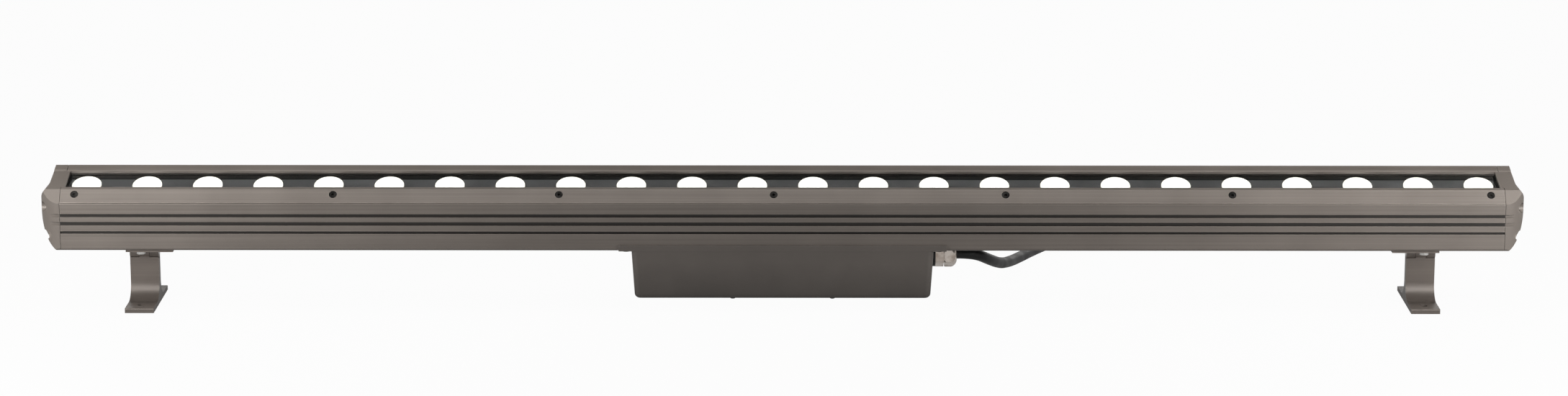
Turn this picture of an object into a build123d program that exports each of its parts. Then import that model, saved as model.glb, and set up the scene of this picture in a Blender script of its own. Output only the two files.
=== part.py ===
from build123d import *
import math
import os

os.makedirs("parts", exist_ok=True)

# Linear wall washer light. X runs along the lamp, -Y is its front, +Z is up.
# The origin is on the ground, midway between the two feet. All sizes are in millimetres.

# ---- driving dimensions ----
OVERALL_LENGTH = 1003.4
CAP_THICKNESS = 13.9
CAP_GASKET = 0.3
BODY_DEPTH = 50.0
BODY_BOTTOM = 41.5
BODY_CORNER = 2.0
WALL = 3.0

# front and rear shoulders of the body, where the cover rails start
FRONT_SHOULDER = 74.0
REAR_SHOULDER = 82.4
FRONT_RAIL = 3.0
REAR_RAIL_SEAT = 18.0
FRONT_SLOPE_TOP = (-17.9, 82.5)
REAR_SLOPE_TOP = (18.6, 91.5)
REAR_LIP_EDGE = (11.3, 89.7)

# window plane: its middle, its tilt towards the front and half its open width
WINDOW_MIDDLE = (-2.3, 86.1)
WINDOW_TILT = 13.0
WINDOW_HALF = 12.4
WINDOW_END = 485.2
LIP = 1.5
GLASS = 3.0
GLASS_HALF = 15.6
GLASS_PLAY = 0.3
GASKET = 1.5
CHAMBER_HALF = 12.3

# optics: turned further to the front than the window, with its plate's middle at a
# given depth below the window plane and the other heights measured along its own axis
LENS_COUNT = 24
LENS_PITCH = 41.1
LENS_DIAMETER = 20.0
LENS_OFFSET = 0.7
OPTICS_TILT = 10.0
PLATE_DEPTH = 6.8
PLATE_HALF = 11.8
PLATE_TOP = -5.1
PLATE = 1.5
BOARD_TOP = -15.6
BOARD = 1.6
SHELF = 3.0

# slots under the body that the brackets slide in
SLOT_Y = 16.0
SLOT_MOUTH = 5.0
SLOT_LIP = 1.8
SLOT_WIDTH = 8.2
SLOT_HEIGHT = 3.8

# grooves in the body's faces: height of the middle, and width
GROOVES = ((65.75, 2.2), (60.15, 2.4), (54.1, 1.7))
GROOVE_DEPTH = 1.5

# Eased edges of the rails and the body's shoulders
SHOULDER_ROUND = 0.4
CREST_ROUND = 0.9
LIP_ROUND = 0.35

# rail screws along the body, as spaced on the lamp
RAIL_SCREWS_X = (-478.0, -303.5, -151.0, -6.0, 150.5, 303.5, 478.0)

# brackets
BRACKET_X = 434.8
FOOT_WIDTH = 19.5
FOOT_DEPTH = 66.0
FOOT_PLATE = 3.2
FOOT_FILLET = 12.0
FOOT_HOLE_Y = 23.0
FOOT_HOLE = 5.2
LEG = 6.0
HINGE_Z = 34.8
HINGE_R = 4.0
PIN_R = 2.0
PIN_PLAY = 0.05
KNUCKLE = 7.0
EAR_GAP = 0.3
EAR_CLEAR = 0.4
SLIDER_X = (412.6, 444.5)
SLIDER_DEPTH = 42.0
SLIDER = 1.9
SLIDER_PLAY = 0.1
BOLT_R = 2.0
BOLT_HEAD_R = 3.0
BOLT_HEAD = 2.4

# driver box
BOX_TOP_X = 102.5
BOX_BOTTOM_X = 100.1
BOX_BOTTOM = 8.3
BOX_HALF_DEPTH = 26.2
BOX_WALL = 3.0
BOX_FLANGE_X = 110.8
BOX_FLANGE = 2.2
BOX_FLANGE_Y = (-10.5, 6.0)
SADDLE_PLAY = 0.05
SADDLE_TOP = 45.6

# cable gland and cable
GLAND_Y = 12.6
GLAND_Z = 31.2
GLAND_FACE = 102.5
GLAND_WASHER = 2.0
GLAND_END = 119.2
GLAND_FLATS = 17.0
GLAND_INNER_FACE = 96.0
GLAND_PAD_R = 10.4
GLAND_PAD_Z = 30.6
CABLE_DIAMETER = 7.6

# ---- derived sizes ----
BODY_END = OVERALL_LENGTH / 2 - CAP_THICKNESS - CAP_GASKET
BOX_FLOOR = BOX_BOTTOM + BOX_WALL
CAP_FACE = OVERALL_LENGTH / 2 - CAP_THICKNESS
HALF_DEPTH = BODY_DEPTH / 2
LENS_X = [(i - (LENS_COUNT - 1) / 2) * LENS_PITCH for i in range(LENS_COUNT)]
WINDOW = Plane(
    origin=(0, *WINDOW_MIDDLE),
    x_dir=(1, 0, 0),
    z_dir=(0, -math.sin(math.radians(WINDOW_TILT)), math.cos(math.radians(WINDOW_TILT))),
)
OPTICS = WINDOW * Pos(0, 0, -PLATE_DEPTH) * Rot(OPTICS_TILT, 0, 0) * Pos(0, 0, -PLATE_TOP)
LENSES = OPTICS * Pos(0, LENS_OFFSET, 0)


# ---- helpers ----
def on_window(across, up):
    """A point of the cross-section given along and above the window plane, as (y, z)."""
    point = WINDOW.from_local_coords((0, across, up))
    return point.Y, point.Z


def on_optics(across, up):
    """A point of the cross-section given in the optics' tilted frame, as (y, z)."""
    point = OPTICS * Pos(0, across, up)
    return point.position.Y, point.position.Z


def block(x, y, z):
    """A box between two values on each axis."""
    size = [high - low for low, high in (x, y, z)]
    middle = [(high + low) / 2 for low, high in (x, y, z)]
    return Pos(*middle) * Box(*size)


def prism(section, x_low, x_high):
    """A straight length of a cross-section given as (y, z) points."""
    face = make_face(Plane.YZ * Polyline(*section, close=True))
    return Pos(x_low, 0, 0) * extrude(face, amount=x_high - x_low, dir=(1, 0, 0))


def rod(radius, start, end):
    """A round bar between two points."""
    along = Vector(*end) - Vector(*start)
    upright = Cylinder(radius, along.length, align=(Align.CENTER, Align.CENTER, Align.MIN))
    return Plane(origin=start, z_dir=along) * upright


def hex_bar(flats, start, end):
    """A hexagonal bar between two points, with one corner up."""
    along = Vector(*end) - Vector(*start)
    outline = RegularPolygon(flats / 2, 6, major_radius=False)
    return Plane(origin=start, x_dir=(0, 1, 0), z_dir=along) * Rot(0, 0, 30) * extrude(
        outline, amount=along.length
    )


def tube(route, radii, diameter):
    """A round cord along straight runs joined by tangent arcs."""
    path = FilletPolyline(*route, radius=radii)
    start = Plane(origin=path @ 0, z_dir=path % 0)
    return sweep(start * Circle(diameter / 2), path=path)


def largest_radii(route):
    """For each corner of a route, the largest arc that its two runs leave room for."""
    radii = []
    share = 0.75
    for before, corner, after in zip(route, route[1:], route[2:]):
        run_in = Vector(*corner) - Vector(*before)
        run_out = Vector(*after) - Vector(*corner)
        half_turn = math.radians(run_in.get_angle(run_out)) / 2
        radii.append(min(share * run_in.length, 0.45 * run_out.length) / math.tan(half_turn))
        share = 0.45
    return radii


def group(solids):
    """Several separate solids as one node."""
    return Compound(children=list(solids))


def save(name, shape):
    """Writes one piece under its own name."""
    export_step(shape, f"parts/{name}.step")


# ---- cross-sections shared by the body, the rails and the caps ----
front_lip_edge = on_window(-WINDOW_HALF, 0)
rear_bevel_foot = on_window(WINDOW_HALF, 0)
pocket_half = GLASS_HALF + GLASS_PLAY
ledge = -LIP - GLASS - GASKET


def front_seat_point(fraction):
    """A point on the front rail's seat, which lies parallel to its slope."""
    rise = Vector(0, *FRONT_SLOPE_TOP) - Vector(0, -HALF_DEPTH, FRONT_SHOULDER)
    along = rise.normalized()
    inward = Vector(0, along.Z, -along.Y)
    point = Vector(0, -HALF_DEPTH, FRONT_SHOULDER) + inward * FRONT_RAIL + rise * fraction
    return point


def front_seat_where(coordinate, value):
    """The point of the front seat where a measure of it takes a value."""
    start = coordinate(front_seat_point(0))
    finish = coordinate(front_seat_point(1))
    point = front_seat_point((value - start) / (finish - start))
    return point.Y, point.Z


def height_of(point):
    """Height of a point above the ground."""
    return point.Z


def across_window(point):
    """How far a point lies from the window's middle line, along its plane."""
    return WINDOW.to_local_coords(point).Y


glass_corner = on_window(pocket_half, -LIP - GLASS)
rear_seat_rise = (REAR_RAIL_SEAT - glass_corner[0]) * math.tan(math.radians(WINDOW_TILT))
rear_seat_height = glass_corner[1] + rear_seat_rise
front_seat = [
    front_seat_where(height_of, FRONT_SHOULDER),
    front_seat_where(across_window, -pocket_half),
]
rear_seat = [
    glass_corner,
    (REAR_RAIL_SEAT, rear_seat_height),
    (REAR_RAIL_SEAT, REAR_SHOULDER),
]
body_outline = [
    (-HALF_DEPTH, BODY_BOTTOM),
    (-HALF_DEPTH, FRONT_SHOULDER),
    *front_seat,
    *rear_seat,
    (HALF_DEPTH, REAR_SHOULDER),
    (HALF_DEPTH, BODY_BOTTOM),
]
cap_outline = [
    (-HALF_DEPTH, BODY_BOTTOM),
    (-HALF_DEPTH, FRONT_SHOULDER),
    FRONT_SLOPE_TOP,
    front_lip_edge,
    rear_bevel_foot,
    REAR_LIP_EDGE,
    REAR_SLOPE_TOP,
    (HALF_DEPTH, REAR_SHOULDER),
    (HALF_DEPTH, BODY_BOTTOM),
]


def lower_edges(solid):
    """The two long edges along the bottom of the body's section."""
    long_edges = solid.edges().filter_by(Axis.X)
    return [
        edge
        for edge in long_edges
        if edge.center().Z < BODY_BOTTOM + 0.1 and abs(edge.center().Y) > HALF_DEPTH - 0.1
    ]


def edges_at(solid, corners):
    """The long edges that run through given (y, z) corners of a section."""
    long_edges = solid.edges().filter_by(Axis.X)
    return [
        edge
        for edge in long_edges
        if any(math.hypot(edge.center().Y - y, edge.center().Z - z) < 0.01 for y, z in corners)
    ]


def cut_grooves(solid, x_low, x_high, grooves=GROOVES):
    """Takes grooves out of the front and back faces."""
    for middle, width in grooves:
        for face in (-HALF_DEPTH, HALF_DEPTH):
            depth = (face - GROOVE_DEPTH, face + GROOVE_DEPTH)
            height = (middle - width / 2, middle + width / 2)
            solid -= block((x_low, x_high), depth, height)
    return solid


# ---- cap screw ports, in the thick corners of the section ----
CAP_SCREWS = ((-18.0, 70.5), (19.6, 79.4), (-19.5, 51.5), (19.5, 51.5))
CAP_SCREW_TIP = 483.5
CAP_SCREW_SEAT = 491.3
CAP_SCREW_R = 1.8
CAP_SCREW_HEAD_R = 3.3
CAP_SCREW_HEAD = 2.4


# ---- body: extruded aluminium with a lamp chamber, a wiring channel and two slots ----
def make_body():
    """The body's section at full length, with its screw holes and wire holes."""
    body = prism(body_outline, -BODY_END, BODY_END)
    body = fillet(lower_edges(body), BODY_CORNER)
    shoulders = [(-HALF_DEPTH, FRONT_SHOULDER), (HALF_DEPTH, REAR_SHOULDER)]
    body = fillet(edges_at(body, shoulders), SHOULDER_ROUND)

    pocket = [
        on_window(-pocket_half, 9),
        on_window(pocket_half, 9),
        on_window(pocket_half, ledge),
        on_window(CHAMBER_HALF, ledge),
        on_optics(CHAMBER_HALF, BOARD_TOP - BOARD),
        on_optics(-CHAMBER_HALF, BOARD_TOP - BOARD),
        on_window(-CHAMBER_HALF, ledge),
        on_window(-pocket_half, ledge),
    ]
    shelf_under = BOARD_TOP - BOARD - SHELF
    side = HALF_DEPTH - WALL
    boss_top = BODY_BOTTOM + 8.0
    port_boss_top = BODY_BOTTOM + 13.2
    front_top = BODY_BOTTOM + 25.5
    rear_top = BODY_BOTTOM + 35.0
    channel = [
        (-9.0, BODY_BOTTOM + WALL),
        (-9.0, boss_top),
        (-17.2, boss_top),
        (-17.2, port_boss_top),
        (-side, port_boss_top),
        (-side, front_top),
        (-15.2, front_top),
        on_optics(-CHAMBER_HALF - 2.5, shelf_under),
        on_optics(CHAMBER_HALF + 2.5, shelf_under),
        on_optics(CHAMBER_HALF + 2.5, -13.5),
        (side, rear_top),
        (side, port_boss_top),
        (17.2, port_boss_top),
        (17.2, boss_top),
        (9.0, boss_top),
        (9.0, BODY_BOTTOM + WALL),
    ]
    body -= prism(pocket, -BODY_END - 1, BODY_END + 1)
    body -= prism(channel, -BODY_END - 1, BODY_END + 1)

    for side_y in (-SLOT_Y, SLOT_Y):
        whole = (-BODY_END - 1, BODY_END + 1)
        mouth = (side_y - SLOT_MOUTH / 2, side_y + SLOT_MOUTH / 2)
        inner = (side_y - SLOT_WIDTH / 2, side_y + SLOT_WIDTH / 2)
        slot_floor = BODY_BOTTOM + SLOT_LIP
        body -= block(whole, mouth, (BODY_BOTTOM - 1, slot_floor + 0.1))
        body -= block(whole, inner, (slot_floor, slot_floor + SLOT_HEIGHT))

    body = cut_grooves(body, -BODY_END - 1, BODY_END + 1)

    for end in (-1, 1):
        for y, z in CAP_SCREWS:
            body -= rod(CAP_SCREW_R, (end * (BODY_END + 1), y, z), (end * (CAP_SCREW_TIP - 1), y, z))

    for screw in rail_screw_lines("front") + rail_screw_lines("rear"):
        body -= rod(RAIL_SCREW_R, *screw)

    # lead holes through the floor and the shelf
    body -= rod(LEAD_HOLE_R, (0, 0, BODY_BOTTOM - 1), (0, 0, BODY_BOTTOM + WALL + 1))
    body -= LENSES * Pos(0, 0, BOARD_TOP - BOARD - SHELF / 2) * Cylinder(SHELF_HOLE_R, SHELF + 2)
    for x in BOARD_SCREWS_X:
        body -= LENSES * Pos(x, BOARD_SCREW_OFFSET, shelf_under + SHELF / 2) * Cylinder(1.25, SHELF + 1)
    for x, y in FLANGE_SCREWS:
        body -= rod(FLANGE_SCREW_R, (x, y, BODY_BOTTOM - 1), (x, y, BODY_BOTTOM + WALL + 0.5))
    return body


# ---- rail screws: square to each slope, recessed heads ----
RAIL_SCREW_R = 1.5
RAIL_SCREW_HEAD_R = 2.7
RAIL_SCREW_HEAD = 1.5
RAIL_SCREW_RECESS = 1.9
RAIL_SCREW_LENGTH = {"front": 7.0, "rear": 9.5}
RAIL_SCREW_RISE = {"front": 0.65, "rear": 0.45}
SLOPES = {
    "front": ((-HALF_DEPTH, FRONT_SHOULDER), FRONT_SLOPE_TOP),
    "rear": ((HALF_DEPTH, REAR_SHOULDER), REAR_SLOPE_TOP),
}


def slope_frame(side):
    """A point on a rail's slope where its screws sit, and the direction into the body."""
    low, high = SLOPES[side]
    rise = RAIL_SCREW_RISE[side]
    y = low[0] + rise * (high[0] - low[0])
    z = low[1] + rise * (high[1] - low[1])
    along = Vector(0, high[0] - low[0], high[1] - low[1]).normalized()
    inward = Vector(0, along.Z, -along.Y) if side == "front" else Vector(0, -along.Z, along.Y)
    return Vector(0, y, z), inward


def rail_screw_lines(side):
    """Start and end of each screw's thread."""
    point, inward = slope_frame(side)
    lines = []
    for x in RAIL_SCREWS_X:
        start = point + Vector(x, 0, 0) + inward * RAIL_SCREW_RECESS
        end = point + Vector(x, 0, 0) + inward * RAIL_SCREW_LENGTH[side]
        lines.append((tuple(start), tuple(end)))
    return lines


def make_rail(side, section):
    """A pressing strip with eased outer edges and counterbored screw holes."""
    rail = prism(section, -BODY_END, BODY_END)
    rail = fillet(edges_at(rail, SLOPES[side][:1]), SHOULDER_ROUND)
    rail = fillet(edges_at(rail, SLOPES[side][1:]), CREST_ROUND)
    rail = fillet(edges_at(rail, [front_lip_edge, REAR_LIP_EDGE]), LIP_ROUND)
    point, inward = slope_frame(side)
    for x in RAIL_SCREWS_X:
        centre = point + Vector(x, 0, 0)
        seat = centre + inward * RAIL_SCREW_RECESS
        rail -= rod(RAIL_SCREW_HEAD_R, tuple(centre - inward * 3), tuple(seat))
        rail -= rod(RAIL_SCREW_R, tuple(centre), tuple(centre + inward * 9))
    return rail


def make_rail_screws(side):
    """Dark socket screws with round heads."""
    point, inward = slope_frame(side)
    screws = []
    for x in RAIL_SCREWS_X:
        centre = point + Vector(x, 0, 0)
        seat = centre + inward * RAIL_SCREW_RECESS
        head_top = seat - inward * RAIL_SCREW_HEAD
        screw = rod(RAIL_SCREW_HEAD_R, tuple(head_top), tuple(seat))
        screw += rod(RAIL_SCREW_R, tuple(seat), tuple(centre + inward * RAIL_SCREW_LENGTH[side]))
        socket = Plane(origin=head_top, x_dir=(1, 0, 0), z_dir=inward)
        screw -= socket * extrude(RegularPolygon(1.0, 6, major_radius=False), amount=1.0)
        screws.append(screw)
    return group(screws)


front_rail_section = [
    (-HALF_DEPTH, FRONT_SHOULDER),
    FRONT_SLOPE_TOP,
    front_lip_edge,
    on_window(-WINDOW_HALF, -LIP),
    on_window(-pocket_half, -LIP),
    front_seat[1],
    front_seat[0],
]
rear_rail_section = [
    (HALF_DEPTH, REAR_SHOULDER),
    REAR_SLOPE_TOP,
    REAR_LIP_EDGE,
    rear_bevel_foot,
    on_window(WINDOW_HALF, -LIP),
    on_window(pocket_half, -LIP),
    *rear_seat,
]

# ---- end caps ----
CAP_WIDEST_Z = 73.5
CAP_LOWER_X = 18.0
CAP_LOWER_Z = 34.5
CAP_UPPER_R = 12.8
CAP_NECK = 5.4
CAP_CORNER_R = 13.9
CAP_GROOVES = GROOVES[:2]
CAP_HOLLOW_Z = (54.0, 65.0)
SEAL_INSET = 0.8


def cap_front_view():
    """The cap's outline from the front: an elliptic belly below, a narrow neck above."""
    outer = OVERALL_LENGTH / 2
    under = BODY_BOTTOM - 0.5
    lower_angle = math.degrees(math.asin((CAP_WIDEST_Z - under) / CAP_LOWER_Z))
    upper_angle = math.degrees(math.acos((CAP_UPPER_R - CAP_NECK) / CAP_UPPER_R))
    lower = EllipticalCenterArc(
        (outer - CAP_LOWER_X, CAP_WIDEST_Z),
        CAP_LOWER_X,
        CAP_LOWER_Z,
        start_angle=-lower_angle,
        arc_size=lower_angle,
    )
    upper = CenterArc((outer - CAP_UPPER_R, CAP_WIDEST_Z), CAP_UPPER_R, 0, upper_angle)
    top = REAR_SLOPE_TOP[1] + 1
    closing = Polyline(
        upper @ 1,
        (outer - CAP_NECK, top),
        (CAP_FACE, top),
        (CAP_FACE, under),
        lower @ 0,
    )
    outline = lower + upper + closing
    return extrude(Plane.XZ * make_face(outline), amount=HALF_DEPTH + 1, both=True)


def cap_top_view():
    """The cap's outline from above, with round outer corners."""
    outer = OVERALL_LENGTH / 2
    heights = (BODY_BOTTOM, REAR_SLOPE_TOP[1])
    plate = block((CAP_FACE - CAP_CORNER_R, outer), (-HALF_DEPTH, HALF_DEPTH), heights)
    corners = [edge for edge in plate.edges().filter_by(Axis.Z) if edge.center().X > outer - 1]
    return fillet(corners, CAP_CORNER_R)


def make_cap(side):
    """A cast end cap with a rounded belly, two grooves that run out and the window's end bar."""
    outer = OVERALL_LENGTH / 2
    cap = prism(cap_outline, CAP_FACE, outer)
    cap = fillet(lower_edges(cap), BODY_CORNER)
    cap = fillet(edges_at(cap, [FRONT_SLOPE_TOP, REAR_SLOPE_TOP]), CREST_ROUND)
    cap = cap & cap_front_view() & cap_top_view()
    cap = cut_grooves(cap, CAP_FACE - 1, outer + 1, CAP_GROOVES)
    bar = [
        front_lip_edge,
        rear_bevel_foot,
        on_window(WINDOW_HALF, -LIP),
        on_window(-WINDOW_HALF, -LIP),
    ]
    cap += prism(bar, WINDOW_END, CAP_FACE)
    cap -= block((CAP_FACE - 1, CAP_FACE + 6.5), (-12.0, 12.0), CAP_HOLLOW_Z)
    for y, z in CAP_SCREWS:
        cap -= rod(CAP_SCREW_R, (CAP_FACE - 1, y, z), (outer, y, z))
        cap -= rod(CAP_SCREW_HEAD_R + 0.2, (CAP_SCREW_SEAT, y, z), (outer + 1, y, z))
    return cap if side > 0 else mirror(cap, about=Plane.YZ)


def make_cap_gasket(side):
    """A flat seal between the body's end and its cap."""
    section = make_face(Plane.YZ * Polyline(*cap_outline, close=True))
    section = offset(section, amount=-SEAL_INSET, kind=Kind.INTERSECTION)
    seal = Pos(BODY_END, 0, 0) * extrude(section, amount=CAP_GASKET, dir=(1, 0, 0))
    window_gap = [
        on_window(-WINDOW_HALF, -LIP),
        on_window(-WINDOW_HALF, LIP),
        on_window(WINDOW_HALF, LIP),
        on_window(WINDOW_HALF, -LIP),
    ]
    seal -= prism(window_gap, BODY_END - 1, CAP_FACE + 1)
    seal = cut_grooves(seal, BODY_END - 1, CAP_FACE + 1)
    seal -= block((BODY_END - 1, CAP_FACE + 1), (-9.0, 9.0), CAP_HOLLOW_Z)
    for y, z in CAP_SCREWS:
        seal -= rod(CAP_SCREW_R, (BODY_END - 1, y, z), (CAP_FACE + 1, y, z))
    return seal if side > 0 else mirror(seal, about=Plane.YZ)


def make_cap_screws(side):
    """Pan head screws that hold a cap."""
    screws = []
    for y, z in CAP_SCREWS:
        screw = rod(CAP_SCREW_R, (CAP_SCREW_TIP, y, z), (CAP_SCREW_SEAT, y, z))
        screw += rod(CAP_SCREW_HEAD_R, (CAP_SCREW_SEAT, y, z), (CAP_SCREW_SEAT + CAP_SCREW_HEAD, y, z))
        socket_x = (CAP_SCREW_SEAT + CAP_SCREW_HEAD - 1.3, CAP_SCREW_SEAT + CAP_SCREW_HEAD + 1)
        screw -= block(socket_x, (y - 2.0, y + 2.0), (z - 0.4, z + 0.4))
        screw -= block(socket_x, (y - 0.4, y + 0.4), (z - 2.0, z + 2.0))
        screws.append(screw)
    screws = group(screws)
    return screws if side > 0 else mirror(screws, about=Plane.YZ)


# ---- glass, its seal, and the lens plate ----
GLASS_END = 486.9
SEAL_INNER = 12.2
SEAL_OUTER = 14.4


def make_glass():
    """Toughened cover glass with eased edges."""
    glass = Box(2 * GLASS_END, 2 * GLASS_HALF, GLASS)
    glass = chamfer(glass.edges(), 0.4)
    return WINDOW * Pos(0, 0, -LIP - GLASS / 2) * glass


def make_glass_gasket():
    """A silicone frame under the rim of the glass."""
    height = -LIP - GLASS - GASKET / 2
    outer = Box(2 * GLASS_END, 2 * SEAL_OUTER, GASKET)
    inner = Box(2 * (GLASS_END - 3.4), 2 * SEAL_INNER, GASKET + 1)
    return WINDOW * Pos(0, 0, height) * (outer - inner)


def make_lens_plate():
    """A dark sheet with a round hole for each lens."""
    middle = PLATE_TOP - PLATE / 2
    plate = Box(2 * (GLASS_END - 3.6), 2 * PLATE_HALF, PLATE)
    for x in LENS_X:
        plate -= Pos(x, LENS_OFFSET, 0) * Cylinder(LENS_DIAMETER / 2 + 0.2, PLATE + 1)
    return OPTICS * Pos(0, 0, middle) * plate


# ---- optics ----
def make_lenses():
    """Collimator lenses: a low crown on a cone, with a well for the emitter."""
    rim = LENS_DIAMETER / 2
    crown = 0.55
    foot = 4.5
    height = PLATE_TOP - BOARD_TOP
    crown_r = (rim**2 + crown**2) / (2 * crown)
    crown_mid = height + crown - crown_r + math.sqrt(crown_r**2 - rim**2 / 4)
    profile = Polyline((0, 3.0), (2.8, 3.0), (2.8, 0.4), (foot, 0.4), (rim, height - 1.6), (rim, height))
    profile += ThreePointArc((rim, height), (rim / 2, crown_mid), (0, height + crown))
    profile += Line((0, height + crown), (0, 3.0))
    face = make_face(Plane.XZ * profile)
    lens = revolve(face, Axis.Z)
    return group(LENSES * Pos(x, 0, BOARD_TOP) * lens for x in LENS_X)


def make_lens_holders():
    """Cups that stand on the board and carry the lenses."""
    height = PLATE_TOP - BOARD_TOP - PLATE
    cup = Cylinder(11.2, height, align=(Align.CENTER, Align.CENTER, Align.MIN))
    rim = LENS_DIAMETER / 2
    well = Polyline((0, -1), (4.7, -1), (4.7, 0.4), (rim + 0.15, height - 0.1), (rim + 0.15, height + 1))
    well += Polyline((rim + 0.15, height + 1), (0, height + 1), (0, -1))
    cup -= revolve(make_face(Plane.XZ * well), Axis.Z)
    return group(LENSES * Pos(x, 0, BOARD_TOP) * cup for x in LENS_X)


def make_emitters():
    """Square emitter packages with a small dome."""
    base = Pos(0, 0, 0.4) * Box(3.5, 3.5, 0.8)
    dome = Pos(0, 0, 0.8) * Cylinder(1.35, 0.9, align=(Align.CENTER, Align.CENTER, Align.MIN))
    emitter = base + dome
    return group(LENSES * Pos(x, 0, BOARD_TOP) * emitter for x in LENS_X)


# ---- lamp boards ----
BOARD_HALF = 11.2
BOARD_END = 486.0
BOARD_GAP = 4.5
BOARD_SCREWS_X = [LENS_X[i] + LENS_PITCH / 2 for i in (0, 2, 5, 8, 10, 12, 14, 17, 20, 22)]
BOARD_SCREW_OFFSET = 0.0


def make_board(side):
    """Half of the aluminium-backed lamp board."""
    middle_x = side * (BOARD_END + BOARD_GAP) / 2
    board = Box(BOARD_END - BOARD_GAP, 2 * BOARD_HALF, BOARD)
    board = LENSES * Pos(middle_x, 0, BOARD_TOP - BOARD / 2) * board
    for x in BOARD_SCREWS_X:
        board -= LENSES * Pos(x, BOARD_SCREW_OFFSET, BOARD_TOP) * Cylinder(1.6, 2 * BOARD + 1)
    return board


def make_board_screws():
    """Small pan head screws that hold the boards to the shelf."""
    thread = rod(1.25, (0, 0, -BOARD - SHELF), (0, 0, 0))
    head = Cylinder(2.6, 1.8, align=(Align.CENTER, Align.CENTER, Align.MIN))
    slot = Pos(0, 0, 1.5) * Box(4.0, 0.6, 1.0)
    screw = thread + head - slot
    return group(LENSES * Pos(x, BOARD_SCREW_OFFSET, BOARD_TOP) * screw for x in BOARD_SCREWS_X)


# ---- driver box ----
LEAD_HOLE_R = 5.0
SHELF_HOLE_R = 3.6
FLANGE_SCREW_R = 1.75
FLANGE_SCREWS = [(x, y) for x in (-106.4, 106.4) for y in (-7.0, 2.5)]
STANDOFF_TOP = 16.0
BOTTOM_SCREWS = [(x, y) for x in (-33.8, 33.8) for y in (-18.5, 18.5)]
BOTTOM_SCREW_R = 1.1
BOTTOM_HEAD_R = 1.7
BOTTOM_HEAD = 1.2
BOX_GASKET_WIDTH = 1.6
BOX_GASKET_DEPTH = 1.2


def make_box():
    """A cast box with drafted sides, saddle rims up the body's faces and two end flanges."""
    top = Plane.XY.offset(SADDLE_TOP) * RectangleRounded(2 * BOX_TOP_X, 2 * BOX_HALF_DEPTH, 4.2)
    bottom = RectangleRounded(2 * BOX_BOTTOM_X, 2 * (BOX_HALF_DEPTH - 1.0), 4.2)
    bottom = Plane.XY.offset(BOX_BOTTOM) * bottom
    box = loft([bottom, top])
    low_edges = [edge for edge in box.edges() if edge.center().Z < BOX_BOTTOM + 0.01]
    box = fillet(low_edges, 3.2)
    flange_low = BODY_BOTTOM - BOX_FLANGE
    flange_x = (-BOX_FLANGE_X, BOX_FLANGE_X)
    box += block(flange_x, (-BOX_HALF_DEPTH, BOX_HALF_DEPTH), (BODY_BOTTOM, SADDLE_TOP))
    box += block(flange_x, BOX_FLANGE_Y, (flange_low, BODY_BOTTOM))
    inside = HALF_DEPTH + SADDLE_PLAY
    box -= block((-130, 130), (-inside, inside), (BODY_BOTTOM, SADDLE_TOP + 1))
    cavity_y = HALF_DEPTH - BOX_WALL
    cavity_low = RectangleRounded(2 * (BOX_BOTTOM_X - 3.4), 2 * (cavity_y - 0.6), 3)
    cavity_high = RectangleRounded(2 * (BOX_TOP_X - 4.2), 2 * cavity_y, 3)
    box -= loft([Plane.XY.offset(BOX_FLOOR) * cavity_low, Plane.XY.offset(BODY_BOTTOM + 1) * cavity_high])
    for x, y in BOTTOM_SCREWS:
        box += rod(3.6, (x, y, BOX_BOTTOM + 1), (x, y, STANDOFF_TOP))
        box -= rod(BOTTOM_SCREW_R, (x, y, BOX_BOTTOM - 1), (x, y, STANDOFF_TOP + 1))
    box += rod(GLAND_PAD_R, (GLAND_INNER_FACE, GLAND_Y, GLAND_PAD_Z), (GLAND_FACE, GLAND_Y, GLAND_PAD_Z))
    box -= rod(6.0, (GLAND_FACE - 12, GLAND_Y, GLAND_Z), (GLAND_FACE + 1, GLAND_Y, GLAND_Z))
    for x, y in FLANGE_SCREWS:
        box -= rod(FLANGE_SCREW_R + 0.25, (x, y, flange_low - 1), (x, y, BODY_BOTTOM + 1))
    box -= make_box_gasket()
    return box


def make_box_gasket():
    """A cord seal in a groove around the box's rim."""
    x = BOX_TOP_X - 1.4
    y = HALF_DEPTH - 0.9
    width = BOX_GASKET_WIDTH
    outer = RectangleRounded(2 * x, 2 * y, 3.5)
    inner = RectangleRounded(2 * (x - width), 2 * (y - width), 2)
    return Pos(0, 0, BODY_BOTTOM - BOX_GASKET_DEPTH) * extrude(outer - inner, amount=BOX_GASKET_DEPTH)


def make_flange_screws():
    """Pan head screws up through the box's flanges into the body."""
    low = BODY_BOTTOM - BOX_FLANGE
    screws = []
    for x, y in FLANGE_SCREWS:
        screw = rod(FLANGE_SCREW_R, (x, y, low), (x, y, BODY_BOTTOM + WALL))
        screw += rod(3.1, (x, y, low - 1.9), (x, y, low))
        screw -= block((x - 1.9, x + 1.9), (y - 0.4, y + 0.4), (low - 2.5, low - 0.9))
        screw -= block((x - 0.4, x + 0.4), (y - 1.9, y + 1.9), (low - 2.5, low - 0.9))
        screws.append(screw)
    return group(screws)


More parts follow.
